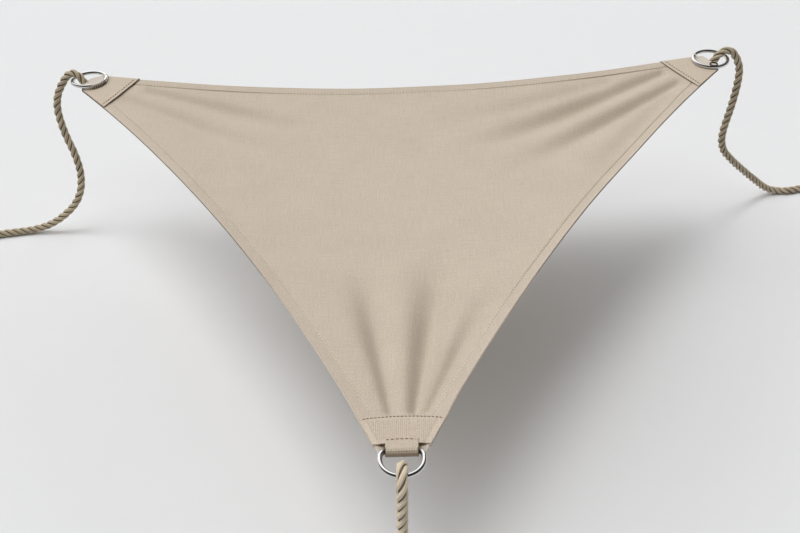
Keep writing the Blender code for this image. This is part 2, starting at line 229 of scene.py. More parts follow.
def frames(line: Array, reference: Array, loop: bool = False) -> tuple[Array, Array, Array]:
    """Directions along a line: tangent t, side = unit(reference × t), up = t × side.

    Args:
        line: (n, 3) points.
        reference: a direction that is nowhere along the line, one or one for each point.
        loop: whether the line's end meets its start.

    Returns:
        Tangent, side and up, each (n, 3).
    """
    if loop:
        tangent = unit(np.roll(line, -1, 0) - np.roll(line, 1, 0))
    else:
        tangent = unit(np.gradient(line, axis=0))
    side = unit(np.cross(reference, tangent))
    return tangent, side, np.cross(tangent, side)


def steady_frames(line: Array, reference: Array) -> tuple[Array, Array, Array]:
    """Frames that don't turn about the line: frames() turned back by the sum of d(up)·side.

    Args:
        line: (n, 3) points.
        reference: a direction that is nowhere along the line.

    Returns:
        Tangent, side and up, each (n, 3).
    """
    tangent, side, up = frames(line, reference)
    turned = np.sum(np.diff(up, axis=0) * (side[1:] + side[:-1]) / 2, axis=1)
    turn = np.concatenate([[0.0], np.cumsum(turned)])[:, None]
    return (tangent, side * np.cos(turn) + up * np.sin(turn), up * np.cos(turn) - side * np.sin(turn))


def run_of(line: Array) -> Array:
    """Length along a line up to each of its points."""
    return np.concatenate([[0.0], np.cumsum(np.linalg.norm(np.diff(line, axis=0), axis=1))])


def tube(line: Array, radius: float | Array, reference: Array, sides: int = 12,
         loop: bool = False) -> Surface:
    """Round bar: line(s) + radius(s)·(cos a·side(s) + sin a·up(s)).

    Args:
        line: (n, 3) middle line.
        radius: one value, or one for each point.
        reference: direction for frames().
        sides: corners of the section.
        loop: whether the bar closes on itself.

    Returns:
        The closed surface, with uv = (share of the way round, length along) and no groove marked.
    """
    _, side, up = frames(line, reference, loop)
    turn = 2 * np.pi * np.arange(sides) / sides
    wide = np.broadcast_to(np.asarray(radius, float), len(line))[:, None, None]
    points = line[:, None] + wide * (np.cos(turn)[None, :, None] * side[:, None]
                                     + np.sin(turn)[None, :, None] * up[:, None])
    run = run_of(np.vstack([line, line[:1]]) if loop else line)
    uv = np.stack(np.broadcast_arrays(np.linspace(0, 1, sides + 1)[None], run[:, None]), -1)
    return Surface.grid(points, uv, around=True, looped=loop, capped=not loop,
                        marks={"groove": np.zeros(points.shape[:2])})


def smooth_line(points: Array, step: float) -> Array:
    """Even steps along the smooth curve through a route's points: Hermite spans whose leans are half
    the way from the point before to the point after.

    Args:
        points: (n, k) route.
        step: wanted distance between results.

    Returns:
        (m, k) points.
    """
    before = np.vstack([2 * points[0] - points[1], points[:-1]])
    after = np.vstack([points[1:], 2 * points[-1] - points[-2]])
    lean = (after - before) / 2
    s = np.linspace(0, 1, 24, endpoint=False)[None, :, None]
    here, there, lean_here, lean_there = points[:-1, None], points[1:, None], lean[:-1, None], lean[1:, None]
    dense = ((2 * s ** 3 - 3 * s ** 2 + 1) * here + (s ** 3 - 2 * s ** 2 + s) * lean_here
             + (3 * s ** 2 - 2 * s ** 3) * there + (s ** 3 - s ** 2) * lean_there)
    return resampled(np.vstack([dense.reshape(-1, points.shape[1]), points[-1]]), step)


def read_at(places: Array | float, run: Array, values: Array) -> Array:
    """Values along a line, read between its points.

    Args:
        places: distances along the line.
        run: the line's own distance at each of its points.
        values: (n, k) values at those points.

    Returns:
        Values at the places, their last axis k long.
    """
    return np.stack([np.interp(places, run, values[:, k]) for k in range(values.shape[1])], -1)


def resampled(line: Array, step: float) -> Array:
    """Moves a line's points to even distances along it.

    Args:
        line: (n, k) points.
        step: wanted distance between results.

    Returns:
        (m, k) points.
    """
    run = run_of(line)
    places = np.linspace(0, run[-1], max(2, round(run[-1] / step) + 1))
    return read_at(places, run, line)


# ---------------------------------------------------------------- shader nodes

@dataclass(frozen=True)
class Signal:
    """A number inside a material, with the arithmetic that the finishes use."""

    net: Net
    socket: bpy.types.NodeSocket

    def math(self, operation: str, other: Signal | float = 0.0, swapped: bool = False) -> Signal:
        """One Math node on this value and another.

        Args:
            operation: the node's operation.
            other: the second value.
            swapped: whether the other value comes first.

        Returns:
            The node's result.
        """
        first, second = (other, self) if swapped else (self, other)
        return self.net.node("ShaderNodeMath", {"operation": operation}, {0: first, 1: second})

    def __add__(self, other: Signal | float) -> Signal:
        """self + other."""
        return self.math("ADD", other)

    __radd__ = __add__

    def __sub__(self, other: Signal | float) -> Signal:
        """self - other."""
        return self.math("SUBTRACT", other)

    def __rsub__(self, other: Signal | float) -> Signal:
        """other - self."""
        return self.math("SUBTRACT", other, swapped=True)

    def __mul__(self, other: Signal | float) -> Signal:
        """self * other."""
        return self.math("MULTIPLY", other)

    __rmul__ = __mul__

    def __pow__(self, other: Signal | float) -> Signal:
        """self ** other."""
        return self.math("POWER", other)

    def sine(self) -> Signal:
        """Sine of the value in radians."""
        return self.math("SINE")

    def size(self) -> Signal:
        """The value without its sign."""
        return self.math("ABSOLUTE")

    def held(self) -> Signal:
        """The value between 0 and 1."""
        return self.math("MAXIMUM", 0.0).math("MINIMUM", 1.0)


def hexed(code: str) -> Colour:
    """A screen colour such as c9bba5 as linear red, green and blue."""
    parts = [int(code[k:k + 2], 16) / 255 for k in (0, 2, 4)]
    return tuple(part / 12.92 if part <= 0.04045 else ((part + 0.055) / 1.055) ** 2.4 for part in parts)


class Net:
    """The nodes of one material."""

    def __init__(self, name: str) -> None:
        """Starts a material with its Principled shader.

        Args:
            name: the material's name.
        """
        self.material = bpy.data.materials.new(name)
        self.material.use_nodes = True
        self.tree = self.material.node_tree
        self.shader = self.tree.nodes["Principled BSDF"]

    def node(self, kind: str, settings: dict[str, object], sockets: dict[str | int, object],
             output: str | int = 0) -> Signal:
        """One node with its settings made first, and then its sockets.

        Args:
            kind: the node's type.
            settings: properties of the node.
            sockets: values or signals of its inputs, by name or number.
            output: which output is wanted.

        Returns:
            The wanted output.
        """
        made = self.tree.nodes.new(kind)
        for key, value in settings.items():
            setattr(made, key, value)
        for key, value in sockets.items():
            self.put(made.inputs[key], value)
        return Signal(self, made.outputs[output])

    def put(self, socket: bpy.types.NodeSocket, value: object) -> None:
        """Links a signal to a socket, or sets the socket's own value.

        Args:
            socket: an input.
            value: a signal, number, vector or colour.
        """
        if isinstance(value, Signal):
            self.tree.links.new(value.socket, socket)
        elif socket.type == "RGBA":
            socket.default_value = (*value, 1.0)
        else:
            socket.default_value = value

    def parts(self, vector: Signal) -> tuple[Signal, Signal, Signal]:
        """A vector's x, y and z."""
        split = self.node("ShaderNodeSeparateXYZ", {}, {0: vector}).socket.node
        return tuple(Signal(self, split.outputs[k]) for k in range(3))

    def uv(self) -> Signal:
        """The piece's own UV map."""
        return self.node("ShaderNodeUVMap", {"uv_map": "UVMap"}, {})

    def place(self) -> Signal:
        """Object coordinates."""
        return self.node("ShaderNodeTexCoord", {}, {}, "Object")

    def mark(self, name: str) -> Signal:
        """A named value of the piece's points."""
        return self.node("ShaderNodeAttribute", {"attribute_name": name}, {}, "Fac")

    def vector(self, x: Signal | float, y: Signal | float, z: Signal | float = 0.0) -> Signal:
        """Three numbers as one vector."""
        return self.node("ShaderNodeCombineXYZ", {}, {0: x, 1: y, 2: z})

    def noise(self, where: Signal, scale: float, detail: float = 2.0, rough: float = 0.5) -> Signal:
        """Noise about 0.5 at a place.

        Args:
            where: the place.
            scale: swings for each unit of it.
            detail: octaves.
            rough: weight of the finer octaves.

        Returns:
            The noise's value.
        """
        return self.node("ShaderNodeTexNoise", {"noise_dimensions": "3D"},
                         {"Vector": where, "Scale": scale, "Detail": detail, "Roughness": rough})

    def blend(self, share: Signal | float, first: Signal | Colour, second: Signal | Colour) -> Signal:
        """first where share is 0, second where it is 1.

        Args:
            share: the mixing value.
            first: a colour.
            second: a colour.

        Returns:
            The mixed colour.
        """
        return self.node("ShaderNodeMix", {"data_type": "RGBA"}, {0: share, 6: first, 7: second}, 2)

    def finished(self, colour: Signal, roughness: Signal | float, height: Signal, depth: float,
                 constants: dict[str, object]) -> bpy.types.Material:
        """Wires the shader.

        Args:
            colour: base colour.
            roughness: roughness, fixed or varying.
            height: relief between 0 and 1.
            depth: what a relief of 1 is worth, in metres.
            constants: fixed values of other sockets.

        Returns:
            The material.
        """
        self.put(self.shader.inputs["Base Color"], colour)
        self.put(self.shader.inputs["Roughness"], roughness)
        bump = self.node("ShaderNodeBump", {}, {"Strength": 1.0, "Distance": depth, "Height": height})
        self.put(self.shader.inputs["Normal"], bump)
        for key, value in constants.items():
            self.put(self.shader.inputs[key], value)
        return self.material


@dataclass(frozen=True)
class Finish:
    """What a piece is made of."""

    name: str

    def material(self) -> bpy.types.Material:
        """The finish's material; each kind of finish has its own."""
        raise NotImplementedError


@lru_cache(maxsize=None)
def material_of(finish: Finish) -> bpy.types.Material:
    """The one material of a finish."""
    return finish.material()


@dataclass(frozen=True)
class Canvas(Finish):
    """Plain-woven cotton canvas. Its UV map is in metres along the threads."""

    light: str = "d5c7b6"
    dark: str = "a59683"
    # seam is the dark colour of the painted shade, and of the dark lines at stitch rows
    seam: str = "6a5b45"
    worn: str = "d2cbc2"
    pitch: float = 0.95 * MM            # from one crossing of threads to the next
    relief: float = 0.16 * MM
    roughness: float = 0.88
    slub: tuple[float, float] = (900.0, 28.0)   # swings a metre across and along a thread

    def material(self) -> bpy.types.Material:
        """Weave |sin πx/p · sin πy/p|^0.4 with thin and thick threads, clouds and specks, painted shade on
        the creases' steep sides, in stitch grooves and under lifted edges, and pale where it is worn.

        Returns:
            The material.
        """
        net = Net(self.name)
        x, y, _ = net.parts(net.uv())
        across, along = self.slub
        crossing = (x * (math.pi / self.pitch)).sine() * (y * (math.pi / self.pitch)).sine()
        weave = crossing.size() ** 0.4
        warp = net.noise(net.vector(x * across, y * along), 1.0, 1.0)
        weft = net.noise(net.vector(x * along, y * across, 7.0), 1.0, 1.0)
        clouds = net.noise(net.vector(x, y, 3.0), 14.0, 4.0, 0.6)
        specks = net.noise(net.vector(x, y, 5.0), 560.0, 2.0, 0.7)
        share = (0.02 + 0.42 * weave + 0.4 * warp + 0.4 * weft + 0.25 * (clouds - 0.5)
                 + 1.35 * (specks - 0.5)).held()
        tone = net.blend(share, hexed(self.dark), hexed(self.light))
        # crease and seam paint shade: on the creases' steep sides, in stitch grooves and under edges
        for mark, most, colour in (("crease", 0.22, self.seam), ("seam", 0.85, self.seam),
                                   ("wear", 0.7, self.worn)):
            tone = net.blend((most * net.mark(mark)).held(), tone, hexed(colour))
        return net.finished(tone, self.roughness, 0.5 * weave + 0.3 * warp + 0.3 * weft, self.relief,
                            {"Sheen Weight": 0.12, "Sheen Roughness": 0.6, "Specular IOR Level": 0.25})


@dataclass(frozen=True)
class Laid(Finish):
    """Twisted fibre. Its UV map is the share of the way round and the length along, in metres."""

    light: str
    dark: str
    yarns: int = 7
    yarn_lay: float = 15.0 * MM
    relief: float = 0.35 * MM
    paleness: float = 0.55

    def material(self) -> bpy.types.Material:
        """Yarn ridges sin 2π(n·u + v/lay), fine fibres along them, and painted shade between the strands.

        Returns:
            The material.
        """
        net = Net(self.name)
        u, v, _ = net.parts(net.uv())
        phase = u * (2 * math.pi * self.yarns) + v * (2 * math.pi / self.yarn_lay)
        ridge = phase.sine() * 0.5 + 0.5
        fibre = net.noise(net.vector(phase * 1.6, v * 260.0), 1.0, 3.0, 0.65)
        patch = net.noise(net.place(), 55.0, 2.0)
        # the groove mark paints shade between the strands
        share = (self.paleness + 0.26 * ridge + 1.0 * (fibre - 0.5) + 0.45 * (patch - 0.5)
                 - 0.9 * net.mark("groove")).held()
        colour = net.blend(share, hexed(self.dark), hexed(self.light))
        return net.finished(colour, 0.8, 0.6 * ridge + 0.5 * fibre, self.relief,
                            {"Sheen Weight": 0.15, "Sheen Roughness": 0.5, "Specular IOR Level": 0.3})


@dataclass(frozen=True)
class Steel(Finish):
    """Polished stainless wire with faint handling marks, and painted shade beside the tab."""

    colour: Colour = (0.66, 0.655, 0.645)
    # colour of the painted shade
    painted_shade: Colour = (0.03, 0.027, 0.023)
    roughness: float = 0.1

    def material(self) -> bpy.types.Material:
        """Mirror-like metal whose gloss varies a little over its surface.

        Returns:
            The material.
        """
        net = Net(self.name)
        smudge = net.noise(net.place(), 160.0, 3.0, 0.6)
        scratch = net.noise(net.place(), 1400.0, 2.0, 0.6)
        clean = net.blend(smudge, tuple(0.9 * part for part in self.colour), self.colour)
        # the seam mark paints shade on the wire
        tone = net.blend(0.95 * net.mark("seam"), clean, self.painted_shade)
        return net.finished(tone, self.roughness + 0.1 * smudge * scratch, scratch, 0.001 * MM,
                            {"Metallic": 1.0})


@dataclass(frozen=True)
class Floor(Finish):
    """Pale studio floor."""

    colour: Colour = (0.800, 0.804, 0.812)

    def material(self) -> bpy.types.Material:
        """Matt, with a breath of unevenness.

        Returns:
            The material.
        """
        net = Net(self.name)
        grain = net.noise(net.place(), 30.0, 3.0)
        tone = net.blend(grain, tuple(0.985 * part for part in self.colour), self.colour)
        return net.finished(tone, 0.7, grain, 0.02 * MM, {"Specular IOR Level": 0.15})


CANVAS = Canvas("canvas_weave")
# its seam colour paints the shade along the patches' edges
PATCH_CANVAS = Canvas("patch_weave", light="d6c7b5", dark="a99884", seam="43372a")
# its seam colour paints the shade under the hems
HEM_CANVAS = Canvas("hem_weave", seam="463a2c")
RIBBED_CANVAS = Canvas("ribbed_weave", light="dfd0bf", dark="aa9985")
WEBBING = Canvas("webbing_weave", light="d5c6b4", dark="a3927e", pitch=1.3 * MM, relief=0.22 * MM)
STEEL = Steel("polished_wire")
# one rope's yarn twice: the near copy is paler, painted light so that it looks lit in the shade it hangs in
FAR_ROPE = Laid("far_rope_yarn", light="d9caae", dark="4b3823", paleness=0.56)
NEAR_ROPE = Laid("near_rope_painted_light", light="e7d7bd", dark="4a3b28", paleness=0.84)
BOUND = Laid("bound_edge", light="dcd4c9", dark="a4998a", yarns=5, yarn_lay=4.0 * MM, relief=0.1 * MM)
TWINE = Laid("waxed_twine", light="bdad92", dark="6b5d48", yarns=3, yarn_lay=2.4 * MM, relief=0.12 * MM)
BLACK_THREAD = Laid("black_thread", light="4a3f33", dark="1d1814")
SEWING = {"yarns": 2, "yarn_lay": 1.4 * MM, "relief": 0.06 * MM}
PALE_THREAD = Laid("pale_thread", light="f4ecdd", dark="b3a48b", **SEWING)
BROWN_THREAD = Laid("brown_thread", light="8f7d66", dark="4d4030", **SEWING)
DARK_THREAD = Laid("dark_thread", light="6b5a44", dark="32281d", **SEWING)


# ---------------------------------------------------------------- the sail's shape

@dataclass(frozen=True)
class Fold:
    """A crease that runs from a corner into the cloth. Lengths in mm, heading in degrees.

    flank is the half-width of its steep side, which lies towards the sign of steep, and slope that of
    the other side. At its end it is 1 + spread times as wide and deep as at its start. It deepens over
    onset flanks, and fades out after hold of its length.
    """

    corner: Corner
    start: float
    side: float
    heading: float
    length: float
    depth: float
    flank: float
    slope: float
    steep: int
    spread: float
    onset: float = 3.4
    hold: float = 0.3

    def relief(self, plan: Array, origin: Array, inward: Array) -> tuple[Array, Array]:
        """-depth·grown·shown·exp(-(beside / width)² / 2), where beside is the offset from the crease's
        line and width is flank or slope times grown.

        Args:
            plan: plan points.
            origin: plan place of the corner.
            inward: unit vector from it to the sail's middle.

        Returns:
            The height that the crease adds, and how far each point is on its steep side.
        """
        offset = plan - origin
        along = offset @ inward - self.start * MM
        across = offset @ np.array([inward[1], -inward[0]])
        beside = across - self.side * MM - along * math.tan(math.radians(self.heading))
        reach = along / (self.length * MM)
        grown = 1 + self.spread * np.clip(reach, 0, 1)
        width = np.where(beside * self.steep > 0, self.flank, self.slope) * MM * grown
        shown = smooth_step(along / (self.onset * self.flank * MM))
        shown = shown * (1 - smooth_step((reach - self.hold) / (1 - self.hold)))
        height = -self.depth * MM * grown * shown * np.exp(-(beside / width) ** 2 / 2)
        # the second value masks painted shade on the crease's steep side
        sharp = min(1.0, self.depth / self.flank)
        return height, sharp * shown * bell(beside * self.steep / (self.flank * MM * grown), 1.0, 1.1)


@dataclass(frozen=True)
class Edge:
    """A hemmed edge: its plan line, the unit vectors into the cloth, and how far in it is sewn."""

    line: Array
    inward: Array
    hem: float

    def seam(self, first: int, last: int) -> Array:
        """The line where the hem is sewn, without some points at its ends."""
        return (self.line + self.inward * self.hem)[first:last]


@dataclass
class SailShape:
    """The sail's outline and height, in its own plane."""

    roll: float = 1.965                 # degrees, right corner up
    pitch: float = 1.076                # degrees, far corners up
    ring_span: float = 962.6 * MM
    ring_reach: float = 788.2 * MM
    near_tip_half: float = 23.8 * MM
    near_tip_y: float = 10.5 * MM
    tip_upper: tuple[float, float] = (465.0 * MM, 803.0 * MM)
    tip_lower: tuple[float, float] = (487.5 * MM, 762.5 * MM)
    top_hollow: float = 55.6 * MM
    side_hollow: dict[int, float] = field(default_factory=lambda: {-1: 32.8 * MM, 1: 28.8 * MM})
    sag: float = 16.5 * MM
    level: float = -3.6 * MM            # middle of the solid cloth at its corners
    hem_top: float = 12.6 * MM          # stitch line in from the far edge
    hem_side: float = 14.0 * MM         # and from the side edges
    folds: tuple[Fold, ...] = (         # corner, start, side, heading, length, depth, flank, slope, ...
        Fold(Corner.NEAR, 58, -9.6, -7.6, 310, 4.1, 4.2, 6, -1, 3.6),
        Fold(Corner.NEAR, 58, 12.6, 7.8, 320, 6.9, 4.8, 5, -1, 3.8),
        Fold(Corner.NEAR, 58, 23.6, 21.4, 240, 4.1, 4.5, 6, -1, 2.0),
        Fold(Corner.RIGHT, 66, 15.0, -1.6, 430, 6.0, 4.8, 6.5, 1, 3.2),
        Fold(Corner.RIGHT, 66, -19.0, -8.4, 400, 6.0, 4.8, 6.5, 1, 3.0),
        Fold(Corner.RIGHT, 100, -34.3, -26.9, 300, 3.2, 8.0, 12, 1, 1.6),
        Fold(Corner.RIGHT, 150, 36.0, 8.1, 330, 2.6, 7.0, 10, 1, 1.6),
        Fold(Corner.LEFT, 84, -17.0, -5.0, 360, 3.6, 5.0, 7, -1, 2.2),
        Fold(Corner.LEFT, 66, 13.9, 4.4, 350, 3.2, 5.5, 7, -1, 2.2),
    )

    def corners(self) -> dict[Corner, Array]:
        """Plan places of the three ring middles."""
        return {Corner.NEAR: np.zeros(2),
                Corner.LEFT: np.array([-self.ring_span / 2, self.ring_reach]),
                Corner.RIGHT: np.array([self.ring_span / 2, self.ring_reach])}

    def turned(self, points: Array) -> Array:
        """Points of the sail's plane, turned with it about the origin: by pitch, and then by roll.

        Args:
            points: (..., 3) points or directions.

        Returns:
            The same in world axes.
        """
        roll = Matrix.Rotation(math.radians(-self.roll), 3, "Y")
        pitch = Matrix.Rotation(math.radians(self.pitch), 3, "X")
        return points @ np.array(roll @ pitch).T

    def top_edge(self, u: Array) -> Array:
        """Far edge: x = a(2u - 1), y = b - 4·hollow·u(1 - u)."""
        x = self.tip_upper[0] * (2 * u - 1)
        return np.stack([x, self.tip_upper[1] - self.top_hollow * 4 * u * (1 - u)], -1)

    def side_axes(self, side: int) -> tuple[Array, Array, Array]:
        """A side edge's chord.

        Args:
            side: -1 for left, 1 for right.

        Returns:
            Its start at the near tip, the vector to its end, and the unit vector into the cloth.
        """
        start = np.array([side * self.near_tip_half, self.near_tip_y])
        chord = np.array([side * self.tip_lower[0], self.tip_lower[1]]) - start
        along = unit(chord)
        return start, chord, np.array([-side * along[1], side * along[0]])

    def side_edge(self, v: Array, side: int) -> Array:
        """Side edge: start + v·chord + 4·hollow·v(1 - v)·inward.

        Args:
            v: shares of the way from the near tip.
            side: -1 for left, 1 for right.

        Returns:
            Plan points.
        """
        start, chord, inward = self.side_axes(side)
        v = np.asarray(v)[..., None]
        return start + chord * v + inward * self.side_hollow[side] * 4 * v * (1 - v)

    def edges(self) -> dict[str, Edge]:
        """The far, left and right edges, with directions from differences along their lines.

        Returns:
            The edges by name.
        """
        top = self.top_edge(np.linspace(0, 1, 240))
        along = unit(np.gradient(top, axis=0))
        made = {"far": Edge(top, np.stack([along[:, 1], -along[:, 0]], -1), self.hem_top)}
        for side, name in SIDES.items():
            line = self.side_edge(np.linspace(0.012, 1, 220), side)
            along = unit(np.gradient(line, axis=0))
            made[name] = Edge(line, np.stack([-side * along[:, 1], side * along[:, 0]], -1), self.hem_side)
        return made

    def from_top(self, plan: Array) -> Array:
        """Distance from the far edge, (edge y - y)·cos(slope).

        Args:
            plan: plan points.

        Returns:
            Their distances, below 0 outside.
        """
        u = (plan[..., 0] / self.tip_upper[0] + 1) / 2
        edge = self.tip_upper[1] - self.top_hollow * 4 * u * (1 - u)
        slope = self.top_hollow * 2 * (1 - 2 * u) / self.tip_upper[0]
        return (edge - plan[..., 1]) / np.sqrt(1 + slope ** 2)

    def from_side(self, plan: Array, side: int) -> Array:
        """Distance from a side edge, (offset from the chord - hollow there)·cos(slope).

        Args:
            plan: plan points.
            side: -1 for left, 1 for right.

        Returns:
            Their distances, below 0 outside.
        """
        start, chord, inward = self.side_axes(side)
        offset = plan - start
        v = offset @ chord / (chord @ chord)
        hollow = self.side_hollow[side]
        slope = hollow * 4 * (1 - 2 * v) / np.linalg.norm(chord)
        return (offset @ inward - hollow * 4 * v * (1 - v)) / np.sqrt(1 + slope ** 2)

    def from_sides(self, plan: Array) -> Array:
        """Distance from the nearer side edge."""
        return np.minimum(self.from_side(plan, -1), self.from_side(plan, 1))

    def creases(self, plan: Array) -> tuple[Array, Array]:
        """All folds together: the sum of their heights and the greatest of their steepness, which masks the
        painted shade on the creases.

        Args:
            plan: plan points.

        Returns:
            The height that the creases add, and how far each point is on a steep side, where painted shade
            goes.
        """
        corners = self.corners()
        middle = sum(corners.values()) / 3
        height, steep = np.zeros(plan.shape[:-1]), np.zeros(plan.shape[:-1])
        for fold in self.folds:
            origin = corners[fold.corner]
            added, steepness = fold.relief(plan, origin, unit(middle - origin))
            height, steep = height + added, np.maximum(steep, steepness)
        return height, steep

    def height(self, plan: Array) -> Array:
        """Middle of the cloth: level - 27·sag·b1·b2·b3 with the shares b of the three rings, plus the
        creases.

        Args:
            plan: plan points.

        Returns:
            Their heights in the sail's own plane.
        """
        far = plan[..., 1] / self.ring_reach
        lean = plan[..., 0] / (self.ring_span / 2)
        shares = [np.clip(share, 0, None) for share in (1 - far, (far - lean) / 2, (far + lean) / 2)]
        return self.level - self.sag * 27 * shares[0] * shares[1] * shares[2] + self.creases(plan)[0]

    def place(self, plan: Array, lift: Array | float = 0.0) -> Array:
        """World places of plan points at the cloth's height plus lift."""
        return self.turned(np.concatenate([plan, (self.height(plan) + lift)[..., None]], -1))

    def normal(self, plan: Array, reach: float = 0.5 * MM) -> Array:
        """Upward unit normal (-dh/dx, -dh/dy, 1) of the cloth, by differences.

        Args:
            plan: plan points.
            reach: step of the differences, each way.

        Returns:
            World directions.
        """
        steps = [np.array([reach, 0.0]), np.array([0.0, reach])]
        slopes = [(self.height(plan + step) - self.height(plan - step)) / (2 * reach) for step in steps]
        return self.turned(unit(np.stack([-slopes[0], -slopes[1], np.ones_like(slopes[0])], -1)))


# ---------------------------------------------------------------- threads

@dataclass
class Stitching:
    """Rows of thread on the sail, each stitch an arch that dips into the cloth at both ends."""

    shape: SailShape
    radius: float = 0.5 * MM
    rise: float = 0.4 * MM

    def stitch(self, length: float) -> Surface:
        """One stitch along x: z = rise·(1 - 1.6·(2x / length)²), round in section and thin at its ends.

        Args:
            length: from end to end.

        Returns:
            A shape of a few dozen faces.
        """
        share = np.linspace(-1, 1, 7)
        line = np.stack([share * length / 2, np.zeros(7), self.rise * (1 - 1.6 * share ** 2)], -1)
        taper = self.radius * np.array([0.45, 0.9, 1.0, 1.0, 1.0, 0.9, 0.45])
        return tube(line, taper, np.array([0.0, 1.0, 0.0]), sides=6)

    def row(self, plan: Array, pitch: float, length: float, lift: float, between: bool = False) -> Surface:
        """Stitches at even steps along a plan line.

        Args:
            plan: (n, 2) line.
            pitch: from one stitch to the next.
            length: of one stitch.
            lift: of the row above the middle of the solid cloth.
            between: whether they stand half a step further on.

        Returns:
            The row.
        """
        line = resampled(plan, pitch)
        if between:
            line = (line[1:] + line[:-1]) / 2
        middle = (line[1:] + line[:-1]) / 2
        origins = self.shape.place(middle, lift)
        up = self.shape.normal(middle)
        ends = self.shape.place(line, lift)
        along = unit(ends[1:] - ends[:-1])
        across = unit(np.cross(up, along))
        return self.stitch(length).repeated(origins, along, across, np.cross(along, across))


# ---------------------------------------------------------------- cloth pieces

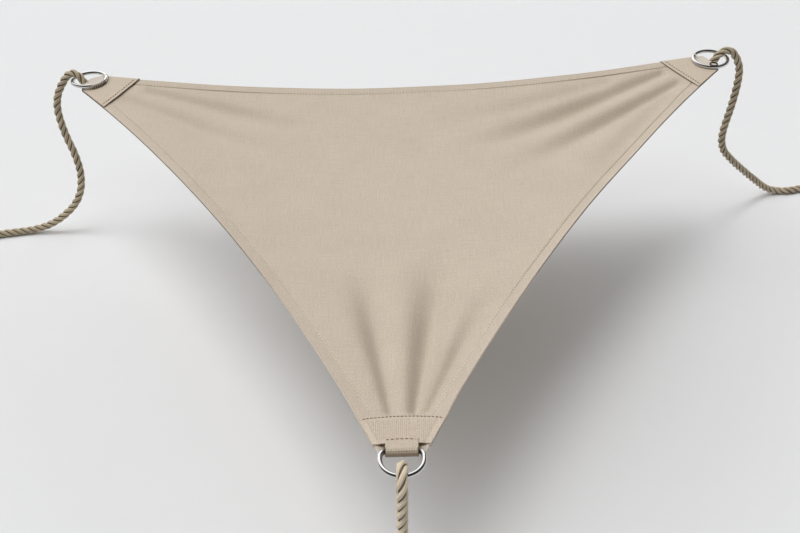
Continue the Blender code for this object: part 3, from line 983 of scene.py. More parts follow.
@dataclass
class Cloth:
    """The sail's one sheet of canvas, its hems and its hem stitches."""

    shape: SailShape
    wall: float = 1.0 * MM
    lift: float = 0.3 * MM              # keeps the top face where the solid's is
    roll: float = 1.6 * MM              # radius of the hems' turned edge
    slot_half: float = 18.0 * MM        # the opening that the tab covers
    slot_end: float = 21.0 * MM
    groove: float = 0.4 * MM            # depth of the stitch lines
    swell: float = 0.3 * MM             # rise of the hem beyond them
    pucker: float = 0.12 * MM
    wave: float = 0.25 * MM
    curl: float = 4.4 * MM              # rise of the side edges
    ear_dip: float = 3.0 * MM           # fall of the tips beside the tab
    slit_depth: float = 2.8 * MM        # shade under the near patch's free edge, beside the tab
    slit_reach: float = 11.0 * MM
    left_seam: float = 0.32             # how much of its groove and curl the left side has
    left_curl: float = 0.6
    corner_sine: float = 0.857          # of the angle between a side edge and a cut end
    grid_reach: float = 760.0           # mm that the rows are shared out over
    rows: int = 168
    columns: int = 176

    def lines_across(self, length: float) -> Array:
        """Distances along a cut end of the sheet, close together at the hems' stitch lines.

        Args:
            length: of the end.

        Returns:
            Distances from 0 to length.
        """
        close = np.array([0, 1, 3, 6, 9, 12, 13, 13.6, 14, 14.4, 15, 16.2, 18]) * MM / self.corner_sine
        inner = np.linspace(close[-1], length - close[-1], self.columns + 1)
        return np.concatenate([close[:-1], inner, (length - close[:-1])[::-1]])

    def lines_up(self) -> Array:
        """Shares of the way from the near tip to the far edge, close together at both ends.

        Returns:
            Shares from 0 to 1.
        """
        close = np.array([0, 1, 3, 6.5, 9.5, 11, 11.8, 12.2, 12.6, 13, 13.7, 15.6, 20])
        spread = np.interp(np.arange(self.rows), [0, 26, 46, self.rows],
                           [0, 17, 62, self.grid_reach - close[-1]])
        return np.concatenate([spread, self.grid_reach - close[::-1]]) / self.grid_reach

    def plan(self) -> Array:
        """Grid of plan points: near(t)·(1 - v) + far(t)·v + the side edges' hollows, shared out from
        side to side.

        Returns:
            (rows, columns, 2) points.
        """
        shape = self.shape
        lower = np.array(shape.tip_lower)
        far = np.vstack([lower * [-1, 1], shape.top_edge(np.linspace(0, 1, 400)), lower])
        run = run_of(far)
        places = self.lines_across(run[-1])
        for corner in (run[1], run[-2]):
            places[np.argmin(abs(places - corner))] = corner
        far = read_at(places, run, far)
        near_x = self.lines_across(2 * shape.near_tip_half) - shape.near_tip_half
        near = np.stack([near_x, np.full_like(near_x, shape.near_tip_y)], -1)
        up = self.lines_up()[:, None, None]
        plan = near[None] * (1 - up) + far[None] * up
        share = (places / run[-1])[None, :, None]
        for side, weight in ((-1, 1 - share), (1, share)):
            start, chord, _ = shape.side_axes(side)
            hollow = shape.side_edge(up[:, 0, 0], side) - (start + chord * up[:, 0])
            plan = plan + hollow[:, None] * weight
        return plan

    def stitch_lines(self, plan: Array) -> Array:
        """Grooves where the hems are sewn: bells about their lines. The side ones fade towards the near
        tip, and the far hem keeps a trace all over.

        Args:
            plan: plan points.

        Returns:
            Depth of the groove, between 0 and 1, which also sets the painted shade in it.
        """
        shape, top, side = self.shape, self.shape.from_top(plan), self.shape.from_sides(plan)
        top_line = bell(top, shape.hem_top, 0.9 * MM) * (side > shape.hem_side)
        side_line = bell(side, shape.hem_side, 1.0 * MM) * (top > shape.hem_top)
        side_line = side_line * (0.12 + 0.88 * smooth_step((plan[..., 1] - 0.16) / 0.2))
        side_line = side_line * np.where(plan[..., 0] > 0, 1.0, self.left_seam)
        trace = 0.06 * smooth_step(6 * (1 - top / shape.hem_top))
        return np.maximum(np.maximum(0.75 * top_line, side_line), trace)

    def curled(self, plan: Array) -> Array:
        """How far the side edges curl up: (1 - distance / hem)^1.3, from 50 mm past the near corner on,
        and a quarter of that over the far half.

        Args:
            plan: plan points.

        Returns:
            The curl, between 0 and 1.
        """
        y = plan[..., 1]
        curl = np.clip(1 - self.shape.from_sides(plan) / self.shape.hem_side, 0, 1) ** 1.3
        curl = curl * smooth_step((y - 50 * MM) / (40 * MM)) * (1 - 0.75 * smooth_step((y - 0.35) / 0.25))
        return curl * np.where(plan[..., 0] > 0, 1.0, self.left_curl)

    def relief(self, plan: Array) -> Array:
        """What the sheet and its hems add to the sail's height: stitch grooves, a soft swell beyond
        them, puckers along them, long waves, side edges that curl up, and ears pressed down by the tab.

        Args:
            plan: plan points.

        Returns:
            Their lift.
        """
        shape, top, side = self.shape, self.shape.from_top(plan), self.shape.from_sides(plan)
        hem = np.minimum(top / shape.hem_top, side / shape.hem_side)
        swell = np.clip(1 - (2 * hem - 1) ** 2, 0, 1) * (hem < 1)
        x, y = plan[..., 0] / MM, plan[..., 1] / MM
        pucker = (np.sin(x / 3.1 + 2 * np.sin(x / 29)) * bell(top, 12 * MM, 9 * MM)
                  + np.sin(y / 3.3 + 2 * np.sin(y / 23)) * bell(side, 8 * MM, 7 * MM))
        waves = np.sin(x / 31 + y / 57) + np.sin(y / 37 - x / 71 + 1.3) + np.sin((x + y) / 93 + 0.6)
        ear = bell(abs(plan[..., 0]), 19 * MM, 5.5 * MM) * bell(plan[..., 1], 18 * MM, 9 * MM)
        return (-self.groove * self.stitch_lines(plan) + self.swell * swell + self.pucker * pucker
                + self.wave * (waves * smooth_step(side / (70 * MM))) + self.curl * self.curled(plan)
                - self.ear_dip * ear)

    def slit(self, plan: Array) -> Array:
        """The shade beside the tab, under the near patch's free edge: a wedge that is slit_depth deep at
        the tab and nothing slit_reach out from it.

        Args:
            plan: plan points.

        Returns:
            How far each point is in it.
        """
        out = (abs(plan[..., 0]) - 16.5 * MM) / self.slit_reach
        depth = 21.8 * MM - plan[..., 1]
        inside = smooth_step((self.slit_depth * (1 - out) - depth) / (0.8 * MM)) * (depth > -2 * MM)
        return np.where((out > 0) & (out < 1), inside, 0.0)

    def sheet(self) -> bpy.types.Object:
        """The canvas, with the slot for the tab left open at the near tip.

        Returns:
            The piece.
        """
        plan = self.plan()
        middle = (plan[1:, 1:] + plan[:-1, :-1]) / 2
        slot = (abs(middle[..., 0]) < self.slot_half) & (middle[..., 1] < self.slot_end)
        edge = np.minimum(self.shape.from_top(plan), self.shape.from_sides(plan))
        # seam is painted shade here: in the hems' stitch grooves and in the slit beside the tab; crease is
        # painted shade on the creases' steep sides
        marks = {"seam": np.maximum(self.stitch_lines(plan), self.slit(plan)),
                 "wear": 0.8 * np.exp(-np.clip(edge, 0, None) / (1.2 * MM)),
                 "crease": self.shape.creases(plan)[1]}
        points = self.shape.place(plan, self.lift + self.relief(plan))
        made = Surface.grid(points, plan, marks=marks, keep=~slot).piece("sail_cloth", CANVAS, "canvas",
                                                                         self.wall)
        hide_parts("sail_panel")
        return made

    def hem(self, name: str, edge: Edge) -> bpy.types.Object:
        """A turned-under hem: a flat strip below the cloth whose outer end is rolled round its edge, with
        painted shade on its underside.

        The section, in distance from the edge and height, is carried along the edge.

        Args:
            name: the edge's name.
            edge: the edge.

        Returns:
            The hem.
        """
        width = edge.hem + 2 * MM
        under = self.lift - self.wall / 2
        below = under - self.roll
        turn = np.linspace(np.radians(70), np.radians(270), 9)
        roll = np.stack([0.15 * MM + self.roll * np.cos(turn), under + self.roll * np.sin(turn)], -1)
        flat = [(share * width, below) for share in (0.15, 0.4, 0.7, 0.95)]
        inner = [(share * width, under + 0.1 * MM) for share in (0.97, 0.5, 0.1)]
        section = np.vstack([roll, flat, [(width, below + 0.3 * MM)], inner])
        plan = edge.line[:, None] + edge.inward[:, None] * section[None, :, :1]
        points = self.shape.place(plan, section[None, :, 1] + self.relief(plan))
        across = run_of(np.vstack([section, section[:1]]))
        uv = np.stack(np.broadcast_arrays(run_of(edge.line)[:, None], across[None]), -1)
        underside_shade = np.zeros(len(section))
        underside_shade[3:12] = 1.0              # painted shade on the roll's outer side and most of the flat strip
        shown = smooth_step((edge.line[:, 1] - 0.15) / 0.25)
        made = Surface.grid(points, uv, around=True, capped=True, marks={"seam": shown[:, None] * underside_shade})
        return made.piece(f"hem_{name}", HEM_CANVAS, "canvas")

    def build(self) -> list[bpy.types.Object]:
        """The sheet, its three hems and their stitches.

        Returns:
            The pieces that go with the sheet, the sheet first.
        """
        sheet = self.sheet()
        edges = self.shape.edges()
        hems = [self.hem(name, edge) for name, edge in edges.items()]
        thread = Stitching(self.shape, radius=0.68 * MM)
        face = self.lift + self.wall / 2 - 0.1 * MM
        back = self.lift - self.wall / 2 - self.roll
        above = [thread.row(edges["far"].seam(16, -16), 4.6 * MM, 3.3 * MM, face)]
        below = [thread.row(edges["far"].seam(8, -8), 4.6 * MM, 3.3 * MM, back)]
        for side in SIDES.values():
            above.append(thread.row(edges[side].seam(12, -16), 4.8 * MM, 3.2 * MM, face + 0.1 * MM))
            below.append(thread.row(edges[side].seam(12, -8), 4.4 * MM, 3.2 * MM, back))
        return [sheet, *hems, Surface.joined(above).piece("hem_stitches", PALE_THREAD, "twine"),
                Surface.joined(below).piece("hem_stitches_below", PALE_THREAD, "twine")]


@dataclass(frozen=True)
class FarTip:
    """What differs between the two far patches."""

    on_top: float                       # shares of the far and the side edge that it covers
    on_side: float
    slit: float                         # how far its inner side stands off the cloth
    bow: float                          # how far its tip side bows out
    reach: float                        # how far its upper end goes past the cloth's
    shade_start: float                  # share of the way in where the shade of its inner side starts
    shade: float
    tip_shade: float                        # darkness of the painted shade along its tip side, under the ring


@dataclass
class Patches:
    """The doubled corners: two four-sided far patches and the ribbed near patch, with their seams."""

    shape: SailShape
    wall: float = 1.1 * MM
    level: float = 1.95 * MM            # middle of a patch above the middle of the solid cloth
    overhang: float = 1.0 * MM
    tips: dict[int, FarTip] = field(default_factory=lambda: {
        -1: FarTip(0.066, 0.080, 1.3 * MM, 12.0 * MM, 0.0, 0.972, 1.0, 1.0),
        1: FarTip(0.064, 0.073, 0.6 * MM, 1.0 * MM, 8.0 * MM, 0.985, 0.75, 0.0)})
    worn_radius: float = 24.0 * MM      # the cloth inside the round rings
    near_start: float = 21.5 * MM
    near_end: float = 57.0 * MM
    near_bow: float = 4.5 * MM
    rib: float = 2.15 * MM
    far_seam: float = 0.88              # stitch rows, as shares of the way to the inner side
    near_seam: float = 0.96
    steps: int = 50                     # of the grids that the stitch rows are read from

    def plan(self, start: Array, end: Array, rows: int, columns: int, bow: float = 0.0) -> Array:
        """Grid from a patch's tip side to its inner side: straight between their ends, plus
        bow·4vu(1 - u) inwards.

        Args:
            start: (2, 2) left and right end of the tip side.
            end: (2, 2) left and right end of the inner side.
            rows: steps along.
            columns: steps across.
            bow: how far the inner side bows out.

        Returns:
            (rows + 1, columns + 1, 2) points.
        """
        v = np.linspace(0, 1, rows + 1)[:, None, None]
        u = np.linspace(0, 1, columns + 1)[None, :, None]
        left = start[0] + (end[0] - start[0]) * v
        right = start[1] + (end[1] - start[1]) * v
        inward = unit(end.sum(0) - start.sum(0))
        return left + (right - left) * u + inward * bow * v * 4 * u * (1 - u)

    def overhung(self, left: Array, right: Array) -> Array:
        """The two ends of a side, moved out past the cloth's edges."""
        out = unit(right - left) * self.overhang
        return np.stack([left - out, right + out])

    def far_ends(self, side: int) -> tuple[Array, Array]:
        """A far patch's tip side and inner side.

        Args:
            side: -1 for left, 1 for right.

        Returns:
            The two sides' ends, each from the side edge to the far edge.
        """
        mirror, tip, shape = np.array([side, 1.0]), self.tips[side], self.shape
        on_top = shape.top_edge(np.array(1 - tip.on_top)) * mirror
        on_side = shape.side_edge(np.array(1 - tip.on_side), side)
        return (self.overhung(np.array(shape.tip_lower) * mirror, np.array(shape.tip_upper) * mirror),
                self.overhung(on_side, on_top))

    def far(self, side: int) -> bpy.types.Object:
        """A far patch. Its tip side bows out by bow·4u(1 - u), and its inner side stands off the cloth.

        Args:
            side: -1 for left, 1 for right.

        Returns:
            The piece.
        """
        tip, name = self.tips[side], SIDES[side]
        start, end = self.far_ends(side)
        plan = self.plan(start, end, 44, 44)
        v = np.linspace(0, 1, 45)[:, None]
        u = np.linspace(0, 1, 45)[None, :]
        outward = unit(start.sum(0) - end.sum(0))
        plan = plan + (tip.bow * 4 * u * (1 - u) * (1 - smooth_step(v / 0.4)))[..., None] * outward
        plan[..., 0] += tip.reach * smooth_step(u / 0.55) * (1 - smooth_step(v / 0.35))
        lift = self.level + tip.slit * smooth_step((v - 0.93) / 0.07) * (0.45 + 0.55 * np.sin(np.pi * u))
        lift = lift + 0.15 * MM * np.sin(9 * np.pi * u) * bell(v, 0.9, 0.08)
        # painted shade: under the lifted inner side, along the side edge's thickness, and along the left
        # tip's side under the ring
        shade = tip.shade * smooth_step((v - tip.shade_start) / 0.012) + 0 * u
        row = 0.4 * bell(v, self.far_seam, 0.015) + 0 * u
        outer = 0.85 * smooth_step((0.02 - u) / 0.02) + 0 * v
        tip_shade = tip.tip_shade * smooth_step((0.075 - v) / 0.02) * smooth_step((0.36 - u) / 0.08)
        x, y = self.shape.corners()[Corner(name)]
        from_ring = np.hypot(plan[..., 0] - x, plan[..., 1] - y)
        marks = {"seam": np.maximum.reduce([shade, row, outer, tip_shade]),
                 "wear": smooth_step((self.worn_radius - from_ring) / (2 * MM))}
        surface = Surface.grid(self.shape.place(plan, lift), plan[..., ::side], marks=marks)
        if side < 0:                    # a mirror image, so its faces point down
            surface = surface.flipped()
        made = surface.piece(f"corner_patch_{name}", PATCH_CANVAS, "patch_canvas", self.wall)
        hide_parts(f"patch_{name}")
        return made

    def near_ends(self) -> tuple[Array, Array]:
        """The near patch's side at the tab and its inner side.

        Returns:
            The two sides' ends, each from left to right.
        """
        edges = [self.shape.side_edge(np.linspace(0, 0.12, 200), side) for side in SIDES]
        return tuple(self.overhung(*(np.array([np.interp(y, edge[:, 1], edge[:, 0]), y]) for edge in edges))
                     for y in (self.near_start, self.near_end))

    def near(self) -> bpy.types.Object:
        """The near patch: ribs 0.5 + 0.5·cos(2πx / rib) along it, flat strips at its sides, and its free
        side lifted over the tab.

        Returns:
            The piece.
        """
        start, end = self.near_ends()
        plan = self.plan(start, end, 40, 300, self.near_bow)
        v = np.linspace(0, 1, 41)[:, None]
        x = plan[..., 0]
        half = abs(plan[:, :1, 0])
        middle = smooth_step((half - 7.5 * MM - abs(x)) / (1.2 * MM)) * smooth_step((0.9 - v) / 0.05)
        ribs = (0.5 + 0.5 * np.cos(2 * np.pi * x / self.rib)) * middle
        flap = smooth_step((0.25 - v) / 0.25) * smooth_step((28 * MM - abs(x)) / (12 * MM))
        lift = self.level + 0.4 * MM * ribs + 0.9 * MM * flap - 0.3 * MM * bell(v, 0.94, 0.03)
        row = 0.25 * bell(v, self.near_seam, 0.03)
        strip = 0.35 * bell(half - abs(x), 7 * MM, 0.7 * MM)
        # the seam mark darkens the troughs between the ribs: painted shade
        surface = Surface.grid(self.shape.place(plan, lift), plan,
                               marks={"seam": np.maximum(row, strip) + 0.36 * (middle - ribs)})
        made = surface.piece("corner_patch_near", RIBBED_CANVAS, "patch_canvas", self.wall)
        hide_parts("patch_near")
        return made

    def seams(self) -> list[bpy.types.Object]:
        """Stitches along the patches' inner sides: brown, and pale ones between them on the far patches.

        Returns:
            The far rows, the pale ones and the near row.
        """
        thread, fine = (Stitching(self.shape, radius=radius) for radius in (0.75 * MM, 0.45 * MM))
        face = self.level + self.wall / 2 - 0.15 * MM
        brown, pale = [], []
        for side in SIDES:
            line = self.plan(*self.far_ends(side), self.steps, 60)[round(self.far_seam * self.steps), 3:-3]
            brown.append(thread.row(line, 5.6 * MM, 2.4 * MM, face))
            pale.append(thread.row(line, 5.6 * MM, 2.4 * MM, face - 0.2 * MM, between=True))
        plan = self.plan(*self.near_ends(), self.steps, 60, self.near_bow)
        near = fine.row(plan[round(self.near_seam * self.steps), 2:-2], 4.0 * MM, 2.5 * MM, face)
        return [Surface.joined(brown).piece("patch_stitches_far", BROWN_THREAD, "twine"),
                Surface.joined(pale).piece("patch_stitches_pale", PALE_THREAD, "twine"),
                near.piece("patch_stitches_near", BROWN_THREAD, "twine")]


@dataclass
class Tab:
    """Webbing over the near patch, round the D-ring's bar and back under the cloth."""

    shape: SailShape
    half_width: float = 16.8 * MM
    tail: float = 27.0 * MM             # where both legs end
    roll: float = 5.0 * MM              # its bend round the bar
    roll_middle: tuple[float, float] = (11.4 * MM, -1.1 * MM)
    over: float = 0.0                   # heights of the legs
    under: float = -5.5 * MM
    wall: float = 1.5 * MM
    bow: float = 1.2 * MM               # of its upper end, inwards
    upper_row: float = 1.9 * MM         # stitch rows, along its outer face from the upper end
    front_row: float = 19.4 * MM
    front: float = 20.0 * MM            # where the painted shade of its front starts

    def profile(self) -> Array:
        """The middle line in y and z: an upper leg that rises over the patch's free side, an arc round
        the bar and a lower leg, joined by a smooth curve.

        Returns:
            (n, 2) points, from the end of the upper leg to that of the lower one.
        """
        y, z = self.roll_middle
        turns = np.radians(np.linspace(72, 270, 22))
        loop = np.stack([y + self.roll * np.cos(turns), z + self.roll * np.sin(turns)], -1)
        over, under = self.over, self.under
        upper = [(self.tail, over), (24 * MM, over), (21.5 * MM, over + 0.1 * MM),
                 (18.5 * MM, over + 1.3 * MM), (15.6 * MM, over + 2.9 * MM)]
        lower = [(15 * MM, under - 0.5 * MM), (18.5 * MM, under - 0.2 * MM), (22 * MM, under),
                 (self.tail, under)]
        return smooth_line(np.vstack([upper, loop, lower]), 0.8 * MM)

    def bowed(self, x: Array) -> Array:
        """How far the upper end bows inwards at x: bow·(1 - (x / half width)²)."""
        return self.bow * (1 - (x / self.half_width) ** 2)

    def strap(self) -> bpy.types.Object:
        """The webbing, its edges bound a little thicker, darker at its rows, with painted shade at its lower
        sides and its front.

        Returns:
            The piece.
        """
        line = self.profile()
        run = run_of(line)[:, None]
        x = np.linspace(-1, 1, 61)[None, :] * self.half_width
        share = np.linspace(0, 1, len(line))[:, None]
        along = unit(np.gradient(line, axis=0))
        bound = 0.12 * MM * bell(abs(x), self.half_width - 1.2 * MM, 0.9 * MM)
        y = line[:, :1] + self.bowed(x) * smooth_step(1 - share / 0.15) + bound * along[:, 1:]
        z = line[:, 1:] - bound * along[:, :1]
        points = self.shape.turned(np.stack(np.broadcast_arrays(x, y, z), -1))
        uv = np.stack(np.broadcast_arrays(x, run), -1)
        # painted shade: on the sides' lower ends beside the ring and on the roll's front
        sides = smooth_step((abs(x) - self.half_width + 1.4 * MM) / (0.8 * MM))
        dark = np.maximum.reduce([0.15 * bell(run, self.upper_row, 0.9 * MM) + 0 * x,
                                  0.5 * bell(run, self.front_row, 1.5 * MM) + 0 * x,
                                  0.75 * smooth_step((run - self.front) / (3 * MM)) + 0 * x,
                                  sides * smooth_step((run - 14 * MM) / (4 * MM))])
        surface = Surface.grid(points[::-1], uv[::-1], marks={"seam": dark[::-1]})
        made = surface.piece("tab_webbing", WEBBING, "webbing", self.wall)
        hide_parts("webbing_tab")
        return made

    def row(self, distance: float, pitch: float, length: float, radius: float) -> Surface:
        """A row of stitches across the tab, bowed as its upper end is if it is near there.

        Args:
            distance: along the tab's outer face from its upper end.
            pitch: from one stitch to the next.
            length: of one stitch.
            radius: of the thread.

        Returns:
            The row.
        """
        line = self.profile()
        run = run_of(line)
        place, ahead = read_at([distance, distance + 0.5 * MM], run, line)
        along = unit(ahead - place)
        out = np.array([along[1], -along[0]])
        x = np.arange(-self.half_width + 2.2 * MM, self.half_width - 2 * MM, pitch)
        middle = place + out * self.wall / 2
        y = middle[0] + self.bowed(x) * (distance < 4 * MM)
        origins = np.stack([x, y, np.full_like(x, middle[1])], -1)
        up = np.broadcast_to([0.0, *out], origins.shape)
        across = np.broadcast_to([1.0, 0.0, 0.0], origins.shape)
        stitch = Stitching(self.shape, radius=radius).stitch(length)
        made = stitch.repeated(origins, across, np.cross(up, across), up)
        made.points = self.shape.turned(made.points)
        return made

    def build(self) -> list[bpy.types.Object]:
        """The strap and its two rows of stitches.

        Returns:
            The three pieces.
        """
        upper = self.row(self.upper_row, 4.9 * MM, 3.0 * MM, 0.5 * MM)
        front = self.row(self.front_row, 2.6 * MM, 1.4 * MM, 0.75 * MM)
        return [self.strap(), upper.piece("tab_stitches_upper", BROWN_THREAD, "twine"),
                front.piece("tab_stitches_front", PALE_THREAD, "twine")]


# ---------------------------------------------------------------- rings and ropes

@dataclass
class Rings:
    """The D-ring, the two round rings, and the thread that holds the round ones to their patches."""

    shape: SailShape
    wire: float = 2.5 * MM
    thicker: float = 0.3 * MM           # how much thicker the wire is than the solid's
    round_radius: float = 25.8 * MM
    round_level: float = 1.7 * MM
    left_lean: float = -0.085           # the left ring's front stands up
    half_width: float = 22.5 * MM       # of the D-ring
    bar: float = 12.2 * MM
    shoulder: float = 9.5 * MM
    thread: float = 0.55 * MM
    bound: tuple[float, float] = (-80.0, -14.0)     # the left ring's sleeve, in degrees
    sleeve_wall: float = 0.35 * MM
    eye: float = 5.2 * MM               # the small loop at the right ring
    eye_wire: float = 1.25 * MM
    eye_reach: float = 21.7 * MM        # from the ring's middle

    def ring(self, name: str, line: Array, node: str, painted_shade: Array) -> bpy.types.Object:
        """A closed wire in place of a solid ring.

        Args:
            name: of the piece.
            line: middle of the wire.
            node: solid that it stands for.
            painted_shade: how far painted shade darkens the wire at each point of the line.

        Returns:
            The piece.
        """
        surface = tube(self.shape.turned(line), self.wire + self.thicker, self.shape.turned(UP), sides=20,
                       loop=True)
        # the wire's seam mark is its painted shade
        surface.marks = {"seam": np.repeat(painted_shade, 20)}
        made = surface.piece(name, STEEL, "polished_steel")
        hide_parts(node)
        return made

    def d_line(self) -> Array:
        """The D-ring's middle: a half circle towards the rope, quarter-circle shoulders and a bar.

        Returns:
            (n, 3) points at even steps.
        """
        x, y = self.half_width - self.shoulder, self.bar - self.shoulder
        parts = []
        for middle, radius, start, end, steps in (((0, 0), self.half_width, 180, 360, 90),
                                                  ((x, y), self.shoulder, 0, 90, 20),
                                                  ((-x, y), self.shoulder, 90, 180, 20)):
            turn = np.radians(np.linspace(start, end, steps + 1))
            parts.append(np.stack([middle[0] + radius * np.cos(turn), middle[1] + radius * np.sin(turn)], -1))
        line = np.vstack(parts)
        line = line[np.linalg.norm(np.roll(line, -1, 0) - line, axis=1) > 0.01 * MM]
        line = resampled(np.vstack([line, line[:1]]), 1.0 * MM)[:-1]
        return np.concatenate([line, np.zeros((len(line), 1))], 1)

    def lean(self, corner: Corner, y: Array | float) -> Array | float:
        """How much higher a ring is at y: its lean times the way from its middle."""
        return (self.left_lean if corner is Corner.LEFT else 0.0) * (y - self.shape.corners()[corner][1])

    def about(self, corner: Corner, turn: Array) -> Array:
        """The middle of a round ring's wire: middle + radius·(cos a, sin a), raised by its lean.

        Args:
            corner: which ring.
            turn: angles in radians.

        Returns:
            (n, 3) points of the sail's plane.
        """
        x, y = self.shape.corners()[corner]
        across, away = x + self.round_radius * np.cos(turn), y + self.round_radius * np.sin(turn)
        return np.stack([across, away, self.round_level + self.lean(corner, away)], -1)

    def sleeve(self) -> Surface:
        """The bound stretch of the left ring: a round bar over its wire, its ends drawn in by
        0.35·|s|¹².

        Returns:
            The bar.
        """
        line = self.about(Corner.LEFT, np.radians(np.linspace(*self.bound, 48)))
        drawn_in = 1 - 0.35 * abs(np.linspace(-1, 1, 48)) ** 12
        return tube(self.shape.turned(line), (self.wire + self.sleeve_wall) * drawn_in,
                    self.shape.turned(UP), sides=14)

    def wound(self, corner: Corner, angle: float, turns: int, pitch: float, drop: float = 0.0) -> Surface:
        """Thread wound round the wire and down through the patch: a coil along the ring whose section
        is an oval that hangs below the wire.

        Args:
            corner: which ring.
            angle: place on the ring, in degrees.
            turns: of thread.
            pitch: from one turn to the next, along the wire.
            drop: how far the turns hang out from and below the wire's middle.

        Returns:
            The coil.
        """
        cos, sin = math.cos(math.radians(angle)), math.sin(math.radians(angle))
        out, along = np.array([cos, sin, 0.0]), np.array([-sin, cos, 0.0])
        middle = np.array([*self.shape.corners()[corner], self.round_level - drop])
        middle = middle + (self.round_radius + 0.6 * drop) * out
        middle[2] += self.lean(corner, middle[1])
        turn = np.linspace(0, 2 * np.pi * turns, 26 * turns + 1)[:, None]
        reach = self.wire + self.thread
        height = reach * np.sin(turn) - 0.6 * MM
        bent = (turn / (2 * np.pi) - turns / 2) * pitch / self.round_radius
        ahead = self.round_radius * (out * np.cos(bent) + along * np.sin(bent) - out)
        line = middle + reach * np.cos(turn) * out + ahead + np.where(height < 0, height * 1.25, height) * UP
        return tube(self.shape.turned(line), self.thread, self.shape.turned(along), sides=7)

    def thread_eye(self) -> Surface:
        """A small round loop over the right ring's wire and the tip of its patch: middle + eye·(cos a,
        -sin a).

        Returns:
            The loop.
        """
        middle = np.array([*self.shape.corners()[Corner.RIGHT], self.round_level + self.wire + 0.4 * MM])
        middle = middle + self.eye_reach * np.array([0.0, -1.0, 0.0])
        turn = 2 * np.pi * np.arange(48) / 48
        line = middle + self.eye * np.stack([np.cos(turn), -np.sin(turn), np.zeros(48)], -1)
        return tube(self.shape.turned(line), self.eye_wire, self.shape.turned(UP), sides=10, loop=True)

    def build(self) -> list[bpy.types.Object]:
        """The three rings and their threads.

        Returns:
            The pieces.
        """
        line = self.d_line()
        # painted shade on the D-ring where it leaves the tab's sides
        painted_shade = smooth_step((line[:, 1] - self.bar + 4 * MM) / (3 * MM)) * (abs(line[:, 0]) > 10 * MM)
        made = [self.ring("d_ring_wire", line, "d_ring", painted_shade)]
        for corner in (Corner.LEFT, Corner.RIGHT):
            line = self.about(corner, 2 * np.pi * np.arange(128) / 128)
            made.append(self.ring(f"round_ring_{corner.value}", line, f"ring_{corner.value}",
                                  np.zeros(len(line))))
        threads = ((self.sleeve(), "ring_sleeve_left", BOUND),
                   (self.wound(Corner.LEFT, -47, 9, 3.3 * MM, 0.7 * MM), "ring_wrapping_left", DARK_THREAD),
                   (self.wound(Corner.LEFT, 24, 4, 1.3 * MM), "ring_thread_left", PALE_THREAD),
                   (self.wound(Corner.RIGHT, 150, 3, 1.15 * MM), "ring_threads_right", PALE_THREAD),
                   (self.thread_eye(), "thread_eye_right", BLACK_THREAD))
        return made + [surface.piece(name, finish, "twine") for surface, name, finish in threads]


@dataclass
class Rope:
    """One three-strand rope along its route, from the turned-in tail to the free end."""

    corner: Corner
    route: Array
    reference: Array                    # a direction that is nowhere along the route
    finish: Laid
    lay: float = 37.0 * MM
    radius: float = 6.2 * MM
    strands: int = 3
    sides: int = 26                     # of a strand's section
    step: float = 1.4 * MM
    thread: float = 0.55 * MM           # radius of the whippings' twine
    whipped_from: float = 5.0 * MM
    whipped: float = 11.0 * MM

    def line(self) -> Array:
        """The rope's middle line, at even steps."""
        return smooth_line(self.route * MM, self.step)

    def laid(self) -> Surface:
        """Strands: line(s) + h·(cos φ·side + sin φ·up) with φ = 2π(s / lay + k / n), each a round tube
        that fills its third of the rope, with painted shade towards the grooves.

        Returns:
            All strands as one surface.
        """
        line = self.line()
        _, side, up = steady_frames(line, self.reference)
        run = run_of(line)
        thick = 0.468 * self.radius
        parts = []
        for k in range(self.strands):
            turn = 2 * np.pi * (run / self.lay + k / self.strands)
            out = np.cos(turn)[:, None] * side + np.sin(turn)[:, None] * up
            strand = tube(line + (self.radius - thick) * out, thick, out, sides=self.sides)
            sections = strand.points.reshape(len(line), self.sides, 3)
            away = np.linalg.norm(sections - line[:, None], axis=-1) / self.radius
            # groove is painted shade, deepest where the strand lies nearest the rope's middle
            strand.marks = {"groove": (1 - smooth_step((away - 0.58) / 0.32)).reshape(-1)}
            parts.append(strand)
        return Surface.joined(parts)

    def whipping(self, at_end: bool) -> Surface:
        """Twine wound round the rope near one end: a close helix on its surface.

        Args:
            at_end: whether it is at the free end, not the tail.

        Returns:
            The winding.
        """
        line = self.line()[::-1] if at_end else self.line()
        turns = self.whipped / (2 * self.thread)
        wound = np.linspace(0, 2 * np.pi * turns, int(24 * turns))
        away = self.whipped_from + self.whipped * wound / wound[-1]
        run = run_of(line)
        tangent, side, up = steady_frames(line, self.reference)
        middle, ahead, first, second = (read_at(away, run, values) for values in (line, tangent, side, up))
        place = middle + (self.radius + 0.6 * self.thread) * (np.cos(wound)[:, None] * first
                                                              + np.sin(wound)[:, None] * second)
        return tube(place, self.thread, ahead, sides=7)

    def build(self) -> bpy.types.Object:
        """The rope and the whippings of its two ends.

        Returns:
            The rope.
        """
        name, line = self.corner.value, self.line()
        rope = self.laid().piece(f"laid_rope_{name}", self.finish, "rope_yarn")
        ends = Surface.joined([self.whipping(False), self.whipping(True)])
        whipped = ends.piece(f"rope_whipping_{name}", TWINE, "twine")
        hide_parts(f"rope_{name}")
        LOG.info("rope %s: %.3f m long", name, run_of(line)[-1])
        return rope


